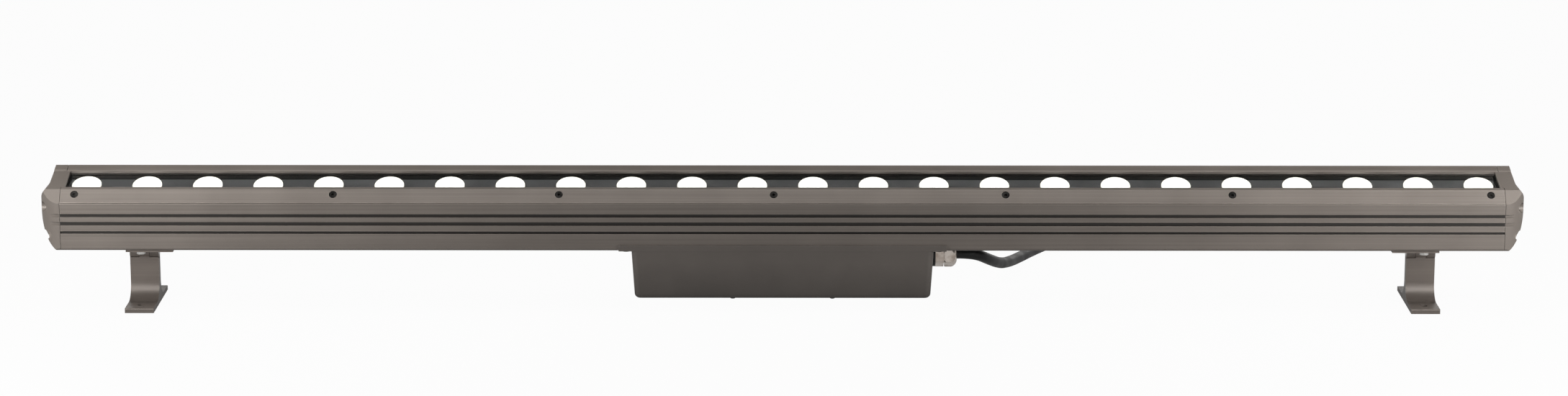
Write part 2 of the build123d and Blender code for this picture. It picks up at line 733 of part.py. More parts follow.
def make_bottom_screws():
    """Pan head screws under the box that hold the driver."""
    screws = []
    for x, y in BOTTOM_SCREWS:
        screw = rod(BOTTOM_SCREW_R, (x, y, BOX_BOTTOM), (x, y, STANDOFF_TOP + 3.2))
        head = rod(BOTTOM_HEAD_R, (x, y, BOX_BOTTOM - BOTTOM_HEAD), (x, y, BOX_BOTTOM))
        under = [edge for edge in head.edges() if edge.center().Z < BOX_BOTTOM - BOTTOM_HEAD + 0.1]
        head = fillet(under, 0.4)
        screw += head
        slot_z = (BOX_BOTTOM - 3, BOX_BOTTOM - BOTTOM_HEAD + 0.6)
        screw -= block((x - 1.0, x + 1.0), (y - 0.22, y + 0.22), slot_z)
        screw -= block((x - 0.22, x + 0.22), (y - 1.0, y + 1.0), slot_z)
        screws.append(screw)
    return group(screws)


# ---- driver inside the box ----
DRIVER_BOARD = 1.6
DRIVER_TOP = STANDOFF_TOP + DRIVER_BOARD


def make_driver_board():
    """The driver's circuit board on the box's four posts."""
    board = block((-78, 62), (-20.8, 20.8), (STANDOFF_TOP, DRIVER_TOP))
    for x, y in BOTTOM_SCREWS:
        board -= rod(BOTTOM_SCREW_R, (x, y, STANDOFF_TOP - 1), (x, y, DRIVER_TOP + 1))
    return board


def make_driver_nuts():
    """Nuts on the posts' screws, over the driver board."""
    nuts = []
    for x, y in BOTTOM_SCREWS:
        nut = Plane.XY.offset(DRIVER_TOP) * extrude(RegularPolygon(2.75, 6, major_radius=False), amount=1.6)
        nut = Pos(x, y, 0) * nut
        nut -= rod(BOTTOM_SCREW_R, (x, y, DRIVER_TOP - 1), (x, y, DRIVER_TOP + 3))
        nuts.append(nut)
    return group(nuts)


def make_transformer():
    """The driver's transformer: a wound core in a square yoke."""
    yoke = block((-12, 14), (-13, 13), (DRIVER_TOP, DRIVER_TOP + 16.5))
    yoke -= block((-7, 9), (-14, 14), (DRIVER_TOP + 4, DRIVER_TOP + 12.5))
    winding = block((-7, 9), (-10.5, 10.5), (DRIVER_TOP + 4, DRIVER_TOP + 12.5))
    return yoke + winding


def make_capacitors():
    """Round capacitors standing on the driver board."""
    places = ((-62, -10, 7.5, 18), (-62, 9, 7.5, 18), (-44, 3, 5.0, 15), (48, -8, 6.0, 17))
    cans = []
    for x, y, radius, height in places:
        can = rod(radius, (x, y, DRIVER_TOP), (x, y, DRIVER_TOP + height))
        top = [edge for edge in can.edges() if edge.center().Z > DRIVER_TOP + height - 0.1]
        cans.append(fillet(top, 0.8))
    return group(cans)


def make_terminals():
    """A screw terminal block for the incoming cores."""
    base = block((66, 78), (-1, 19.5), (BOX_FLOOR, BOX_FLOOR + 12))
    for y in (2.5, 9.2, 15.9):
        base -= rod(2.1, (60, y, BOX_FLOOR + 5.2), (84, y, BOX_FLOOR + 5.2))
        base -= rod(1.7, (72, y, BOX_FLOOR + 7), (72, y, BOX_FLOOR + 14))
    return base


def make_grommet():
    """A rubber bush where the leads pass into the body."""
    low = BODY_BOTTOM - 1.4
    bush = rod(LEAD_HOLE_R, (0, 0, BODY_BOTTOM), (0, 0, BODY_BOTTOM + WALL))
    bush += rod(LEAD_HOLE_R + 1.8, (0, 0, low), (0, 0, BODY_BOTTOM))
    bush += rod(LEAD_HOLE_R + 1.8, (0, 0, BODY_BOTTOM + WALL), (0, 0, BODY_BOTTOM + WALL + 1.4))
    for y in (-1.7, 1.7):
        bush -= rod(1.3, (0, y, low - 1), (0, y, BODY_BOTTOM + WALL + 3))
    return bush


def make_leads():
    """Two insulated leads from the driver up to the lamp boards."""
    foot = DRIVER_TOP + 16.5
    shelf_y, shelf_z = on_optics(LENS_OFFSET, BOARD_TOP - BOARD - SHELF / 2)
    top_z = on_optics(0, BOARD_TOP + 2)[1]
    leads = []
    for y in (-1.7, 1.7):
        upper_y = shelf_y + 0.8 * y
        route = [(0, y, foot), (0, y, BODY_BOTTOM + 8), (0, upper_y, shelf_z - 6), (0, upper_y, top_z)]
        leads.append(tube(route, [12.0, 12.0], 2.4))
    return group(leads)


# ---- cable gland ----
WASHER_END = GLAND_FACE + GLAND_WASHER
GLAND_HEX_END = WASHER_END + 5.6
GLAND_SHANK_R = 6.0


def gland_rod(radius, x_low, x_high):
    """A round stretch on the gland's axis."""
    return rod(radius, (x_low, GLAND_Y, GLAND_Z), (x_high, GLAND_Y, GLAND_Z))


def make_gland_washer():
    """Flat seal between the box and the gland."""
    return gland_rod(9.0, GLAND_FACE, WASHER_END) - gland_rod(GLAND_SHANK_R, GLAND_FACE - 1, WASHER_END + 1)


def make_gland_body():
    """Hexagon, shank through the wall and thread for the clamp nut."""
    body = hex_bar(GLAND_FLATS, (WASHER_END, GLAND_Y, GLAND_Z), (GLAND_HEX_END, GLAND_Y, GLAND_Z))
    round_off = gland_rod(9.2, WASHER_END, GLAND_HEX_END)
    body = body & round_off
    body += gland_rod(GLAND_SHANK_R, 91.5, WASHER_END)
    body += gland_rod(6.6, GLAND_HEX_END, GLAND_HEX_END + 4.5)
    body -= gland_rod(CABLE_DIAMETER / 2, 90, GLAND_HEX_END + 6)
    return body


def make_gland_nut():
    """Domed clamp nut."""
    low = GLAND_HEX_END + 0.5
    nut = hex_bar(GLAND_FLATS, (low, GLAND_Y, GLAND_Z), (GLAND_END, GLAND_Y, GLAND_Z))
    profile = Polyline((0, 0), (9.0, 0), (9.4, 0.8), (9.4, 4.6))
    length = GLAND_END - low
    profile += ThreePointArc((9.4, 4.6), (8.2, length - 1.7), (5.4, length))
    profile += Polyline((5.4, length), (0, length), (0, 0))
    dome = revolve(make_face(Plane.XZ * profile), Axis.Z)
    nut = nut & (Plane(origin=(low, GLAND_Y, GLAND_Z), z_dir=(1, 0, 0)) * dome)
    nut -= gland_rod(6.6, low - 1, GLAND_END - 1.6)
    nut -= gland_rod(CABLE_DIAMETER / 2, low, GLAND_END + 1)
    return nut


def make_gland_seal():
    """Rubber ring squeezed on the cable."""
    low = GLAND_HEX_END + 4.5
    return gland_rod(6.6, low, GLAND_END - 1.6) - gland_rod(CABLE_DIAMETER / 2, low - 1, GLAND_END)


def make_gland_locknut():
    """Flat nut inside the box wall."""
    low = GLAND_INNER_FACE - 2.8
    nut = hex_bar(GLAND_FLATS, (low, GLAND_Y, GLAND_Z), (GLAND_INNER_FACE, GLAND_Y, GLAND_Z))
    nut &= gland_rod(9.0, low, GLAND_INNER_FACE)
    return nut - gland_rod(GLAND_SHANK_R, low - 1, GLAND_INNER_FACE + 1)


def make_cable_entry():
    """The cable's straight end through the gland, into the box."""
    return gland_rod(CABLE_DIAMETER / 2, 84.0, GLAND_END)


# ---- free cable ----
COIL_CENTRE = (157.0, 199.0)
COIL_OUTER = 46.0
COIL_PITCH = 8.3
COIL_LAYER = 8.2
TIE_STRAP = 0.75
COIL_REST_Z = CABLE_DIAMETER / 2 + TIE_STRAP + 0.1
COIL_QUARTERS_IN = 6
COIL_QUARTERS_UP = 2
COIL_QUARTERS_OUT = 5

lead_route = [
    (GLAND_END, GLAND_Y, GLAND_Z),
    (131.5, GLAND_Y, GLAND_Z),
    (143.0, 27.0, 23.0),
    (151.5, 51.0, 14.6),
    (159.5, 77.0, 9.8),
    (167.5, 101.0, 7.1),
    (177.0, 126.0, 5.3),
    (189.0, 149.0, COIL_REST_Z),
    (COIL_CENTRE[0] + COIL_OUTER, 170.0, COIL_REST_Z),
    (COIL_CENTRE[0] + COIL_OUTER, COIL_CENTRE[1] - CABLE_DIAMETER, COIL_REST_Z),
]


def coil_point(quarter):
    """Middle of the cable at a quarter turn of the coil, and its direction there."""
    turn_round = COIL_QUARTERS_IN + COIL_QUARTERS_UP / 2
    inner = COIL_OUTER - COIL_PITCH * turn_round / 4
    radius = inner + COIL_PITCH * abs(quarter - turn_round) / 4
    climb = min(max((quarter - COIL_QUARTERS_IN) / COIL_QUARTERS_UP, 0), 1)
    angle = quarter * math.pi / 2
    radial = Vector(math.cos(angle), math.sin(angle), 0)
    tangent = Vector(-math.sin(angle), math.cos(angle), 0)
    end = quarter in (0, COIL_QUARTERS_IN + COIL_QUARTERS_UP + COIL_QUARTERS_OUT, turn_round)
    drift = 0 if end else math.copysign(COIL_PITCH / (2 * math.pi), quarter - turn_round)
    rising = COIL_LAYER / (COIL_QUARTERS_UP * math.pi / 2) if 0 < climb < 1 else 0
    point = Vector(*COIL_CENTRE, COIL_REST_Z + climb * COIL_LAYER) + radial * radius
    direction = tangent * radius + radial * drift + Vector(0, 0, 1.6 * rising)
    return point, direction.normalized()


def biarc(start, start_way, end, end_way):
    """Two arcs from one point and direction to another, smooth where they meet."""
    gap = end - start
    ways = start_way + end_way
    spread = 2 * (1 - start_way.dot(end_way))
    along = gap.dot(ways)
    reach = (-along + math.sqrt(along**2 + spread * gap.dot(gap))) / spread
    first = start + start_way * reach
    second = end - end_way * reach
    middle = (first + second) * 0.5
    return [
        Edge.make_tangent_arc(start, start_way, middle),
        Edge.make_tangent_arc(middle, (second - first).normalized(), end),
    ]


def coil_path():
    """The coil's centreline, with a straight diameter at each end."""
    last = COIL_QUARTERS_IN + COIL_QUARTERS_UP + COIL_QUARTERS_OUT
    nodes = [coil_point(quarter) for quarter in range(last + 1)]
    first_point, first_way = nodes[0]
    last_point, last_way = nodes[-1]
    edges = [Edge.make_line(first_point - first_way * CABLE_DIAMETER, first_point)]
    for (start, start_way), (end, end_way) in zip(nodes, nodes[1:]):
        edges += biarc(start, start_way, end, end_way)
    edges.append(Edge.make_line(last_point, last_point + last_way * CABLE_DIAMETER))
    return Wire(edges)


def make_coil(path):
    """The put-away length of cable, wound in two layers."""
    start = Plane(origin=path @ 0, z_dir=path % 0)
    return sweep(start * Circle(CABLE_DIAMETER / 2), path=path)


def least_gap(path, diameter):
    """The smallest clear space between stretches of a cord that aren't neighbours."""
    count = int(path.length / 3)
    step = path.length / count
    points = [path @ (i / count) for i in range(count + 1)]
    apart = math.ceil(3 * diameter / step)
    distances = [
        (points[i] - points[j]).length
        for i in range(len(points))
        for j in range(i + apart, len(points))
    ]
    return min(distances) - diameter


coil_wire = coil_path()
coil_end = coil_wire @ 1
CONNECTOR_START = (86.0, 229.0, 8.6)
CONNECTOR_LEAD = (98.0, 233.8, 8.6)
tail_route = [
    tuple(coil_end),
    (136.0, coil_end.Y, coil_end.Z),
    (120.0, 240.6, 10.8),
    CONNECTOR_LEAD,
    CONNECTOR_START,
]

# ---- connector on the cable's end ----
CONNECTOR_R = 7.2
CONNECTOR_RING_R = 8.4


def connector_frame():
    """A plane at the connector's back, with its normal along the connector."""
    along = Vector(*CONNECTOR_START) - Vector(*CONNECTOR_LEAD)
    return Plane(origin=CONNECTOR_START, z_dir=along)


def stepped(steps):
    """A turned shape from (start, end, radius) steps along its axis."""
    parts = [
        Pos(0, 0, low) * Cylinder(radius, high - low, align=(Align.CENTER, Align.CENTER, Align.MIN))
        for low, high, radius in steps
    ]
    turned = parts[0]
    for part in parts[1:]:
        turned += part
    return turned


def make_connector_nut():
    """Clamp nut at the back of the connector."""
    nut = stepped(((0, 3, 5.6), (3, 13, 7.6)))
    for i in range(8):
        nut -= Rot(0, 0, 45 * i) * Pos(8.1, 0, 8.5) * Box(1.6, 1.4, 9.2)
    return connector_frame() * nut


def make_connector_body():
    """Moulded body with the contact nose."""
    body = stepped(((13, 34, CONNECTOR_R), (34, 52, 5.6)))
    body -= Pos(0, 0, 44) * Cylinder(4.4, 16.1, align=(Align.CENTER, Align.CENTER, Align.MIN))
    return connector_frame() * body


def make_connector_ring():
    """Knurled coupling ring."""
    ring = Pos(0, 0, 34.3) * Cylinder(CONNECTOR_RING_R, 15, align=(Align.CENTER, Align.CENTER, Align.MIN))
    ring -= Pos(0, 0, 33) * Cylinder(5.8, 18, align=(Align.CENTER, Align.CENTER, Align.MIN))
    for i in range(18):
        ring -= Rot(0, 0, 20 * i) * Pos(CONNECTOR_RING_R + 0.25, 0, 41.8) * Box(1.2, 1.1, 12)
    return connector_frame() * ring


def make_connector_pins():
    """Three contacts inside the nose."""
    pins = []
    for i in range(3):
        pin = Cylinder(0.9, 7, align=(Align.CENTER, Align.CENTER, Align.MIN))
        pins.append(connector_frame() * (Rot(0, 0, 120 * i) * Pos(2.3, 0, 44) * pin))
    return group(pins)


def make_cable_tie():
    """A thin strap round the coil's bundle at one side."""
    x_in = COIL_CENTRE[0] - 46.6
    x_out = COIL_CENTRE[0] - 28.6
    high = COIL_REST_Z + COIL_LAYER + CABLE_DIAMETER / 2 + 0.2
    y = COIL_CENTRE[1]
    outer = block((x_in - TIE_STRAP, x_out + TIE_STRAP), (y - 2.2, y + 2.2), (0, high + TIE_STRAP))
    inner = block((x_in, x_out), (y - 3, y + 3), (TIE_STRAP, high))
    tie = outer - inner
    tie += block((x_in - 4.0, x_in - 0.4), (y - 2.8, y + 2.8), (high - 5.0, high + 0.4))
    return tie


# ---- brackets ----
def ear_spans():
    """Where a slider's two hinge ears stand along the lamp."""
    half_gap = KNUCKLE / 2 + EAR_GAP
    half_foot = FOOT_WIDTH / 2
    inboard = (BRACKET_X - half_foot, BRACKET_X - half_gap)
    outboard = (BRACKET_X + half_gap, BRACKET_X + half_foot)
    return inboard, outboard


def make_slider(side):
    """Plate under the body with two hinge ears below it."""
    low = BODY_BOTTOM - SLIDER_PLAY - SLIDER
    high = BODY_BOTTOM - SLIDER_PLAY
    slider = block(SLIDER_X, (-SLIDER_DEPTH / 2, SLIDER_DEPTH / 2), (low, high))
    for start, end in ear_spans():
        slider += block((start, end), (-HINGE_R, HINGE_R), (HINGE_Z, high))
        slider += rod(HINGE_R, (start, 0, HINGE_Z), (end, 0, HINGE_Z))
    slider -= rod(PIN_R, (BRACKET_X - FOOT_WIDTH, 0, HINGE_Z), (BRACKET_X + FOOT_WIDTH, 0, HINGE_Z))
    for y in (-SLOT_Y, SLOT_Y):
        slider -= rod(BOLT_R + 0.15, (BRACKET_X, y, low - 1), (BRACKET_X, y, high + 1))
    return slider if side > 0 else mirror(slider, about=Plane.YZ)


def make_pin(side):
    """Hinge pin, flush with the ears."""
    half = FOOT_WIDTH / 2
    pin = rod(PIN_R, (BRACKET_X - half, 0, HINGE_Z), (BRACKET_X + half, 0, HINGE_Z))
    return pin if side > 0 else mirror(pin, about=Plane.YZ)


def make_t_nuts(side):
    """Nuts in the body's slots."""
    low = BODY_BOTTOM + SLOT_LIP + 0.1
    nuts = []
    for y in (-SLOT_Y, SLOT_Y):
        nut = block((BRACKET_X - 6, BRACKET_X + 6), (y - 3.9, y + 3.9), (low, low + 3.2))
        nut -= rod(BOLT_R, (BRACKET_X, y, low - 1), (BRACKET_X, y, low + 5))
        nuts.append(nut if side > 0 else mirror(nut, about=Plane.YZ))
    return group(nuts)


def make_clamp_bolts(side):
    """Bright socket screws that clamp a slider to its nuts."""
    seat = BODY_BOTTOM - SLIDER_PLAY - SLIDER
    bolts = []
    for y in (-SLOT_Y, SLOT_Y):
        bolt = rod(BOLT_R, (BRACKET_X, y, seat), (BRACKET_X, y, BODY_BOTTOM + SLOT_LIP + 3.2))
        head = rod(BOLT_HEAD_R, (BRACKET_X, y, seat - BOLT_HEAD), (BRACKET_X, y, seat))
        head = fillet([edge for edge in head.edges() if edge.center().Z < seat - BOLT_HEAD + 0.1], 0.6)
        bolt += head
        socket = Plane(origin=(BRACKET_X, y, seat - BOLT_HEAD), z_dir=(0, 0, 1))
        bolt -= socket * extrude(RegularPolygon(1.25, 6, major_radius=False), amount=1.4)
        bolts.append(bolt if side > 0 else mirror(bolt, about=Plane.YZ))
    return group(bolts)


def make_foot(side):
    """Extruded foot: flat base, upright leg with concave roots, and a hinge knuckle."""
    low_x = BRACKET_X - FOOT_WIDTH / 2
    high_x = BRACKET_X + FOOT_WIDTH / 2
    shoulder = HINGE_Z - LEG / 2
    base = block((low_x, high_x), (-FOOT_DEPTH / 2, FOOT_DEPTH / 2), (0, FOOT_PLATE))
    leg = block((low_x, high_x), (-LEG / 2, LEG / 2), (0, shoulder))
    foot = base + leg
    roots = [
        edge
        for edge in foot.edges().filter_by(Axis.X)
        if abs(edge.center().Z - FOOT_PLATE) < 0.01 and abs(abs(edge.center().Y) - LEG / 2) < 0.01
    ]
    foot = fillet(roots, FOOT_FILLET)
    toes = [
        edge
        for edge in foot.edges().filter_by(Axis.X)
        if abs(edge.center().Z - FOOT_PLATE) < 0.01 and abs(edge.center().Y) > FOOT_DEPTH / 2 - 0.1
    ]
    foot = fillet(toes, 0.8)
    knuckle = (BRACKET_X - KNUCKLE / 2, BRACKET_X + KNUCKLE / 2)
    for start, end in ear_spans():
        foot -= rod(HINGE_R + EAR_CLEAR, (start - EAR_GAP, 0, HINGE_Z), (end + EAR_GAP, 0, HINGE_Z))
    foot += block(knuckle, (-LEG / 2, LEG / 2), (shoulder - 1, HINGE_Z))
    foot += rod(HINGE_R, (knuckle[0], 0, HINGE_Z), (knuckle[1], 0, HINGE_Z))
    foot -= rod(PIN_R + PIN_PLAY, (low_x - 1, 0, HINGE_Z), (high_x + 1, 0, HINGE_Z))
    for y in (-FOOT_HOLE_Y, FOOT_HOLE_Y):
        foot -= rod(FOOT_HOLE / 2, (BRACKET_X, y, -1), (BRACKET_X, y, FOOT_PLATE + 1))
    return foot if side > 0 else mirror(foot, about=Plane.YZ)


# ---- write every piece ----
save("housing", make_body())
save("front_cover_rail", make_rail("front", front_rail_section))
save("rear_cover_rail", make_rail("rear", rear_rail_section))
save("front_rail_screws", make_rail_screws("front"))
save("rear_rail_screws", make_rail_screws("rear"))
for side_name, side_sign in (("left", -1), ("right", 1)):
    save(f"{side_name}_end_cap", make_cap(side_sign))
    save(f"{side_name}_cap_gasket", make_cap_gasket(side_sign))
    save(f"{side_name}_cap_screws", make_cap_screws(side_sign))
    save(f"{side_name}_led_board", make_board(side_sign))
    save(f"{side_name}_slider_plate", make_slider(side_sign))
    save(f"{side_name}_t_nuts", make_t_nuts(side_sign))
    save(f"{side_name}_clamp_bolts", make_clamp_bolts(side_sign))
    save(f"{side_name}_hinge_pin", make_pin(side_sign))
    save(f"{side_name}_foot", make_foot(side_sign))
save("cover_glass", make_glass())
save("glass_gasket", make_glass_gasket())
save("lens_plate", make_lens_plate())
save("lenses", make_lenses())
save("lens_holders", make_lens_holders())
save("led_emitters", make_emitters())
save("board_screws", make_board_screws())
save("driver_box", make_box())
save("box_gasket", make_box_gasket())
save("box_flange_screws", make_flange_screws())
save("box_bottom_screws", make_bottom_screws())
save("driver_board", make_driver_board())
save("driver_nuts", make_driver_nuts())
save("driver_transformer", make_transformer())
save("driver_capacitors", make_capacitors())
save("terminal_block", make_terminals())
save("lead_grommet", make_grommet())
save("internal_leads", make_leads())
save("gland_washer", make_gland_washer())
save("gland_body", make_gland_body())
save("gland_clamp_nut", make_gland_nut())
save("gland_seal", make_gland_seal())
save("gland_locknut", make_gland_locknut())
save("cable_entry", make_cable_entry())
save("connector_nut", make_connector_nut())
save("connector_body", make_connector_body())
save("connector_ring", make_connector_ring())
save("connector_pins", make_connector_pins())
save("cable_tie", make_cable_tie())

lead_radii = largest_radii(lead_route)
cable_lead = tube(lead_route, lead_radii, CABLE_DIAMETER)
save("cable_lead", cable_lead)
tail_radii = largest_radii(tail_route)
cable_tail = tube(tail_route, tail_radii, CABLE_DIAMETER)
save("cable_tail", cable_tail)
cable_coil = make_coil(coil_wire)
save("cable_coil", cable_coil)

section_area = math.pi * CABLE_DIAMETER**2 / 4
print("lead radii", [round(r, 1) for r in lead_radii], "length", round(cable_lead.volume / section_area, 1))
print("tail radii", [round(r, 1) for r in tail_radii], "length", round(cable_tail.volume / section_area, 1))
print("coil length", round(coil_wire.length, 1), "by volume", round(cable_coil.volume / section_area, 1))
print("coil gap", round(least_gap(coil_wire, CABLE_DIAMETER), 2))
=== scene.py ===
import bpy
import bmesh
import math
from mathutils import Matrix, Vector


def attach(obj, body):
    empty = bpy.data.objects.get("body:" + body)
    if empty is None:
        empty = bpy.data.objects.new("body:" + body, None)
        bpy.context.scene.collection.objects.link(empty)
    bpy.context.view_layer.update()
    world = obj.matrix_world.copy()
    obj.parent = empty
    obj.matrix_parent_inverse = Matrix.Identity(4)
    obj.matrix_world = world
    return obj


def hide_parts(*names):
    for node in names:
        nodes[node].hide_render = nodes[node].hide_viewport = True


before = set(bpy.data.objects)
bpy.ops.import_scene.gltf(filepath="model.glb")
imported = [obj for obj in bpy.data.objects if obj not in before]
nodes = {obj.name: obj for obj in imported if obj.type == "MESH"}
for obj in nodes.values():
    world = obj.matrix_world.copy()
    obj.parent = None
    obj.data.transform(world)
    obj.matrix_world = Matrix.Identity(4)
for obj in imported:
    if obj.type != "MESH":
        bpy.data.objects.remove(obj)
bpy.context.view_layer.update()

# ---- camera ----
# A long lens about 2.8 m in front of the lamp and 12.9 degrees above it, turned a
# little up so that the lamp sits just under the middle of the picture.
MM = 0.001
FRONT_POINT = Vector((0, -25, 71.5)) * MM
CAMERA_DISTANCE = 2.8
CAMERA_HEIGHT_ANGLE = math.radians(12.9)
AIM_UP = math.radians(0.136)
AIM_RIGHT = math.radians(0.009)
ROLL = math.radians(-0.046)
LENS_LENGTH = 95.37
camera_data = bpy.data.cameras.new("camera")
camera_data.sensor_width = 36
camera_data.lens = LENS_LENGTH
camera_data.clip_end = 50
camera = bpy.data.objects.new("camera", camera_data)
bpy.context.scene.collection.objects.link(camera)
back = Vector((0, -math.cos(CAMERA_HEIGHT_ANGLE), math.sin(CAMERA_HEIGHT_ANGLE)))
camera.location = FRONT_POINT + back * CAMERA_DISTANCE
camera.rotation_euler = (math.radians(90) - CAMERA_HEIGHT_ANGLE + AIM_UP, ROLL, -AIM_RIGHT)
bpy.context.scene.camera = camera
bpy.context.scene.view_settings.view_transform = "Standard"


# ---- shared look of moulded and sheathed pieces ----
# Black rubber and nylon are dull, with a fine pitted skin and faint dusty patches.
# The group mixes two shades in patches and gives the roughness and the pits.
def new_group(name, inputs, outputs):
    """An empty shader group with its sockets, its input node and its output node."""
    group = bpy.data.node_groups.new(name, "ShaderNodeTree")
    for socket, kind, value in inputs:
        made = group.interface.new_socket(socket, in_out="INPUT", socket_type=kind)
        made.default_value = value
    for socket, kind in outputs:
        group.interface.new_socket(socket, in_out="OUTPUT", socket_type=kind)
    return group, group.nodes.new("NodeGroupInput"), group.nodes.new("NodeGroupOutput")


def join(tree, pairs):
    """Links each source socket to its target."""
    for source, target in pairs:
        tree.links.new(source, target)


def math_node(tree, operation, first, second):
    """A sum, product or other operation on two numbers or sockets."""
    node = tree.nodes.new("ShaderNodeMath")
    node.operation = operation
    for socket, value in zip(node.inputs, (first, second)):
        if isinstance(value, (int, float)):
            socket.default_value = value
        else:
            tree.links.new(value, socket)
    return node.outputs[0]


def noise(tree, vector, scale, detail=3.0, roughness=0.55):
    """A soft random value that varies over the object."""
    node = tree.nodes.new("ShaderNodeTexNoise")
    node.inputs["Detail"].default_value = detail
    node.inputs["Roughness"].default_value = roughness
    tree.links.new(vector, node.inputs["Vector"])
    if isinstance(scale, (int, float)):
        node.inputs["Scale"].default_value = scale
    else:
        tree.links.new(scale, node.inputs["Scale"])
    return node.outputs["Fac"]


def ramp(tree, value, low, high, to_low=0.0, to_high=1.0):
    """A value carried from one range to another and held at its ends."""
    node = tree.nodes.new("ShaderNodeMapRange")
    for socket, number in zip(("From Min", "From Max"), (low, high)):
        node.inputs[socket].default_value = number
    for socket, number in zip(("To Min", "To Max"), (to_low, to_high)):
        if isinstance(number, (int, float)):
            node.inputs[socket].default_value = number
        else:
            tree.links.new(number, node.inputs[socket])
    tree.links.new(value, node.inputs["Value"])
    return node.outputs["Result"]


def blend_colours(tree, mask, first, second):
    """The first colour where the mask is 0 and the second where it is 1."""
    node = tree.nodes.new("ShaderNodeMix")
    node.data_type = "RGBA"
    join(tree, ((mask, node.inputs["Factor"]), (first, node.inputs["A"]), (second, node.inputs["B"])))
    return node.outputs["Result"]


COLOUR, NUMBER = "NodeSocketColor", "NodeSocketFloat"
BUMP_DEPTH = 0.1 * MM
patchy, patchy_in, patchy_out = new_group(
    "dusty_skin",
    (
        ("Colour", COLOUR, (0.02, 0.02, 0.02, 1)),
        ("Dusty Colour", COLOUR, (0.05, 0.05, 0.05, 1)),
        ("Patch Scale", NUMBER, 60.0),
        ("Pit Scale", NUMBER, 2500.0),
        ("Smooth", NUMBER, 0.4),
        ("Rough", NUMBER, 0.6),
    ),
    (("Colour", COLOUR), ("Roughness", NUMBER), ("Height", NUMBER)),
)
place = patchy.nodes.new("ShaderNodeTexCoord").outputs["Object"]
patches = ramp(patchy, noise(patchy, place, patchy_in.outputs["Patch Scale"]), 0.4, 0.68)
pits = noise(patchy, place, patchy_in.outputs["Pit Scale"], 2.0)
dusted = blend_colours(patchy, patches, patchy_in.outputs["Colour"], patchy_in.outputs["Dusty Colour"])
skin_roughness = ramp(patchy, patches, 0, 1, patchy_in.outputs["Smooth"], patchy_in.outputs["Rough"])
join(
    patchy,
    (
        (dusted, patchy_out.inputs["Colour"]),
        (skin_roughness, patchy_out.inputs["Roughness"]),
        (pits, patchy_out.inputs["Height"]),
    ),
)


def new_material(name, effect, settings, bump=0.1, metallic=0.0, specular=0.5):
    """A material whose colour, roughness and bump come from a shared effect."""
    material = bpy.data.materials.new(name)
    material.use_nodes = True
    tree = material.node_tree
    shader = tree.nodes["Principled BSDF"]
    shader.inputs["Metallic"].default_value = metallic
    shader.inputs["Specular IOR Level"].default_value = specular
    source = tree.nodes.new("ShaderNodeGroup")
    source.node_tree = effect
    for socket, value in settings.items():
        source.inputs[socket].default_value = (*value, 1) if isinstance(value, tuple) else value
    relief = tree.nodes.new("ShaderNodeBump")
    relief.inputs["Strength"].default_value = bump
    relief.inputs["Distance"].default_value = BUMP_DEPTH
    join(
        tree,
        (
            (source.outputs["Colour"], shader.inputs["Base Color"]),
            (source.outputs["Roughness"], shader.inputs["Roughness"]),
            (source.outputs["Height"], relief.inputs["Height"]),
            (relief.outputs["Normal"], shader.inputs["Normal"]),
        ),
    )
    return material


# ---- cable ----
# A black rubber cable leaves the gland, falls to the ground behind the lamp and is put
# away in a tied two-layer coil, with a short tail to the connector.
CABLE = 7.6 * MM
COIL_CENTRE = Vector((157, 199, 0)) * MM
COIL_OUTER = 46 * MM
COIL_PITCH = 8.3 * MM
COIL_LAYER = 8.2 * MM
COIL_REST = 4.65 * MM
TURNS_IN, TURNS_UP, TURNS_OUT = 1.5, 0.5, 1.25
POINTS_A_TURN = 16
lead_points = [
    Vector(point) * MM
    for point in (
        (119.2, 12.6, 31.2),
        (131.5, 12.6, 31.2),
        (143.0, 27.0, 23.0),
        (151.5, 51.0, 14.6),
        (159.5, 77.0, 9.8),
        (167.5, 101.0, 7.1),
        (177.0, 126.0, 5.3),
        (189.0, 149.0, 4.65),
        (203.0, 170.0, 4.65),
    )
]
tail_points = [
    Vector(point) * MM
    for point in ((136.0, 242.925, 12.85), (120.0, 240.6, 10.8), (98.0, 233.8, 8.6), (86.0, 229.0, 8.6))
]
turn_round = TURNS_IN + TURNS_UP / 2
inner_radius = COIL_OUTER - COIL_PITCH * turn_round
coil_points = []
for step in range(round((TURNS_IN + TURNS_UP + TURNS_OUT) * POINTS_A_TURN)):
    turn = (step + 0.5) / POINTS_A_TURN
    radius = inner_radius + COIL_PITCH * abs(turn - turn_round)
    radius /= math.cos(math.pi / POINTS_A_TURN)
    climb = min(max((turn - TURNS_IN) / TURNS_UP, 0), 1)
    angle = 2 * math.pi * turn
    lift = COIL_REST + climb * COIL_LAYER
    coil_points.append(COIL_CENTRE + Vector((radius * math.cos(angle), radius * math.sin(angle), lift)))
cable_curve = bpy.data.curves.new("supply_cable", "CURVE")
cable_curve.dimensions = "3D"
cable_curve.resolution_u = 10
cable_curve.bevel_depth = CABLE / 2
cable_curve.bevel_resolution = 6
cable_curve.use_fill_caps = True
cable_line = cable_curve.splines.new("NURBS")
cable_route = lead_points + coil_points + tail_points
cable_line.points.add(len(cable_route) - 1)
for spline_point, point in zip(cable_line.points, cable_route):
    spline_point.co = (*point, 1)
cable_line.order_u = 3
cable_line.use_endpoint_u = True
cable_line.use_smooth = True
cable = bpy.data.objects.new("supply_cable", cable_curve)
bpy.context.scene.collection.objects.link(cable)
cable_rubber = new_material(
    "cable_rubber",
    patchy,
    {"Colour": (0.016, 0.016, 0.017), "Dusty Colour": (0.032, 0.031, 0.030), "Smooth": 0.36, "Rough": 0.55},
    bump=0.15,
    specular=0.3,
)
cable.data.materials.append(cable_rubber)
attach(cable, "lamp")
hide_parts("cable_lead", "cable_coil", "cable_tail")
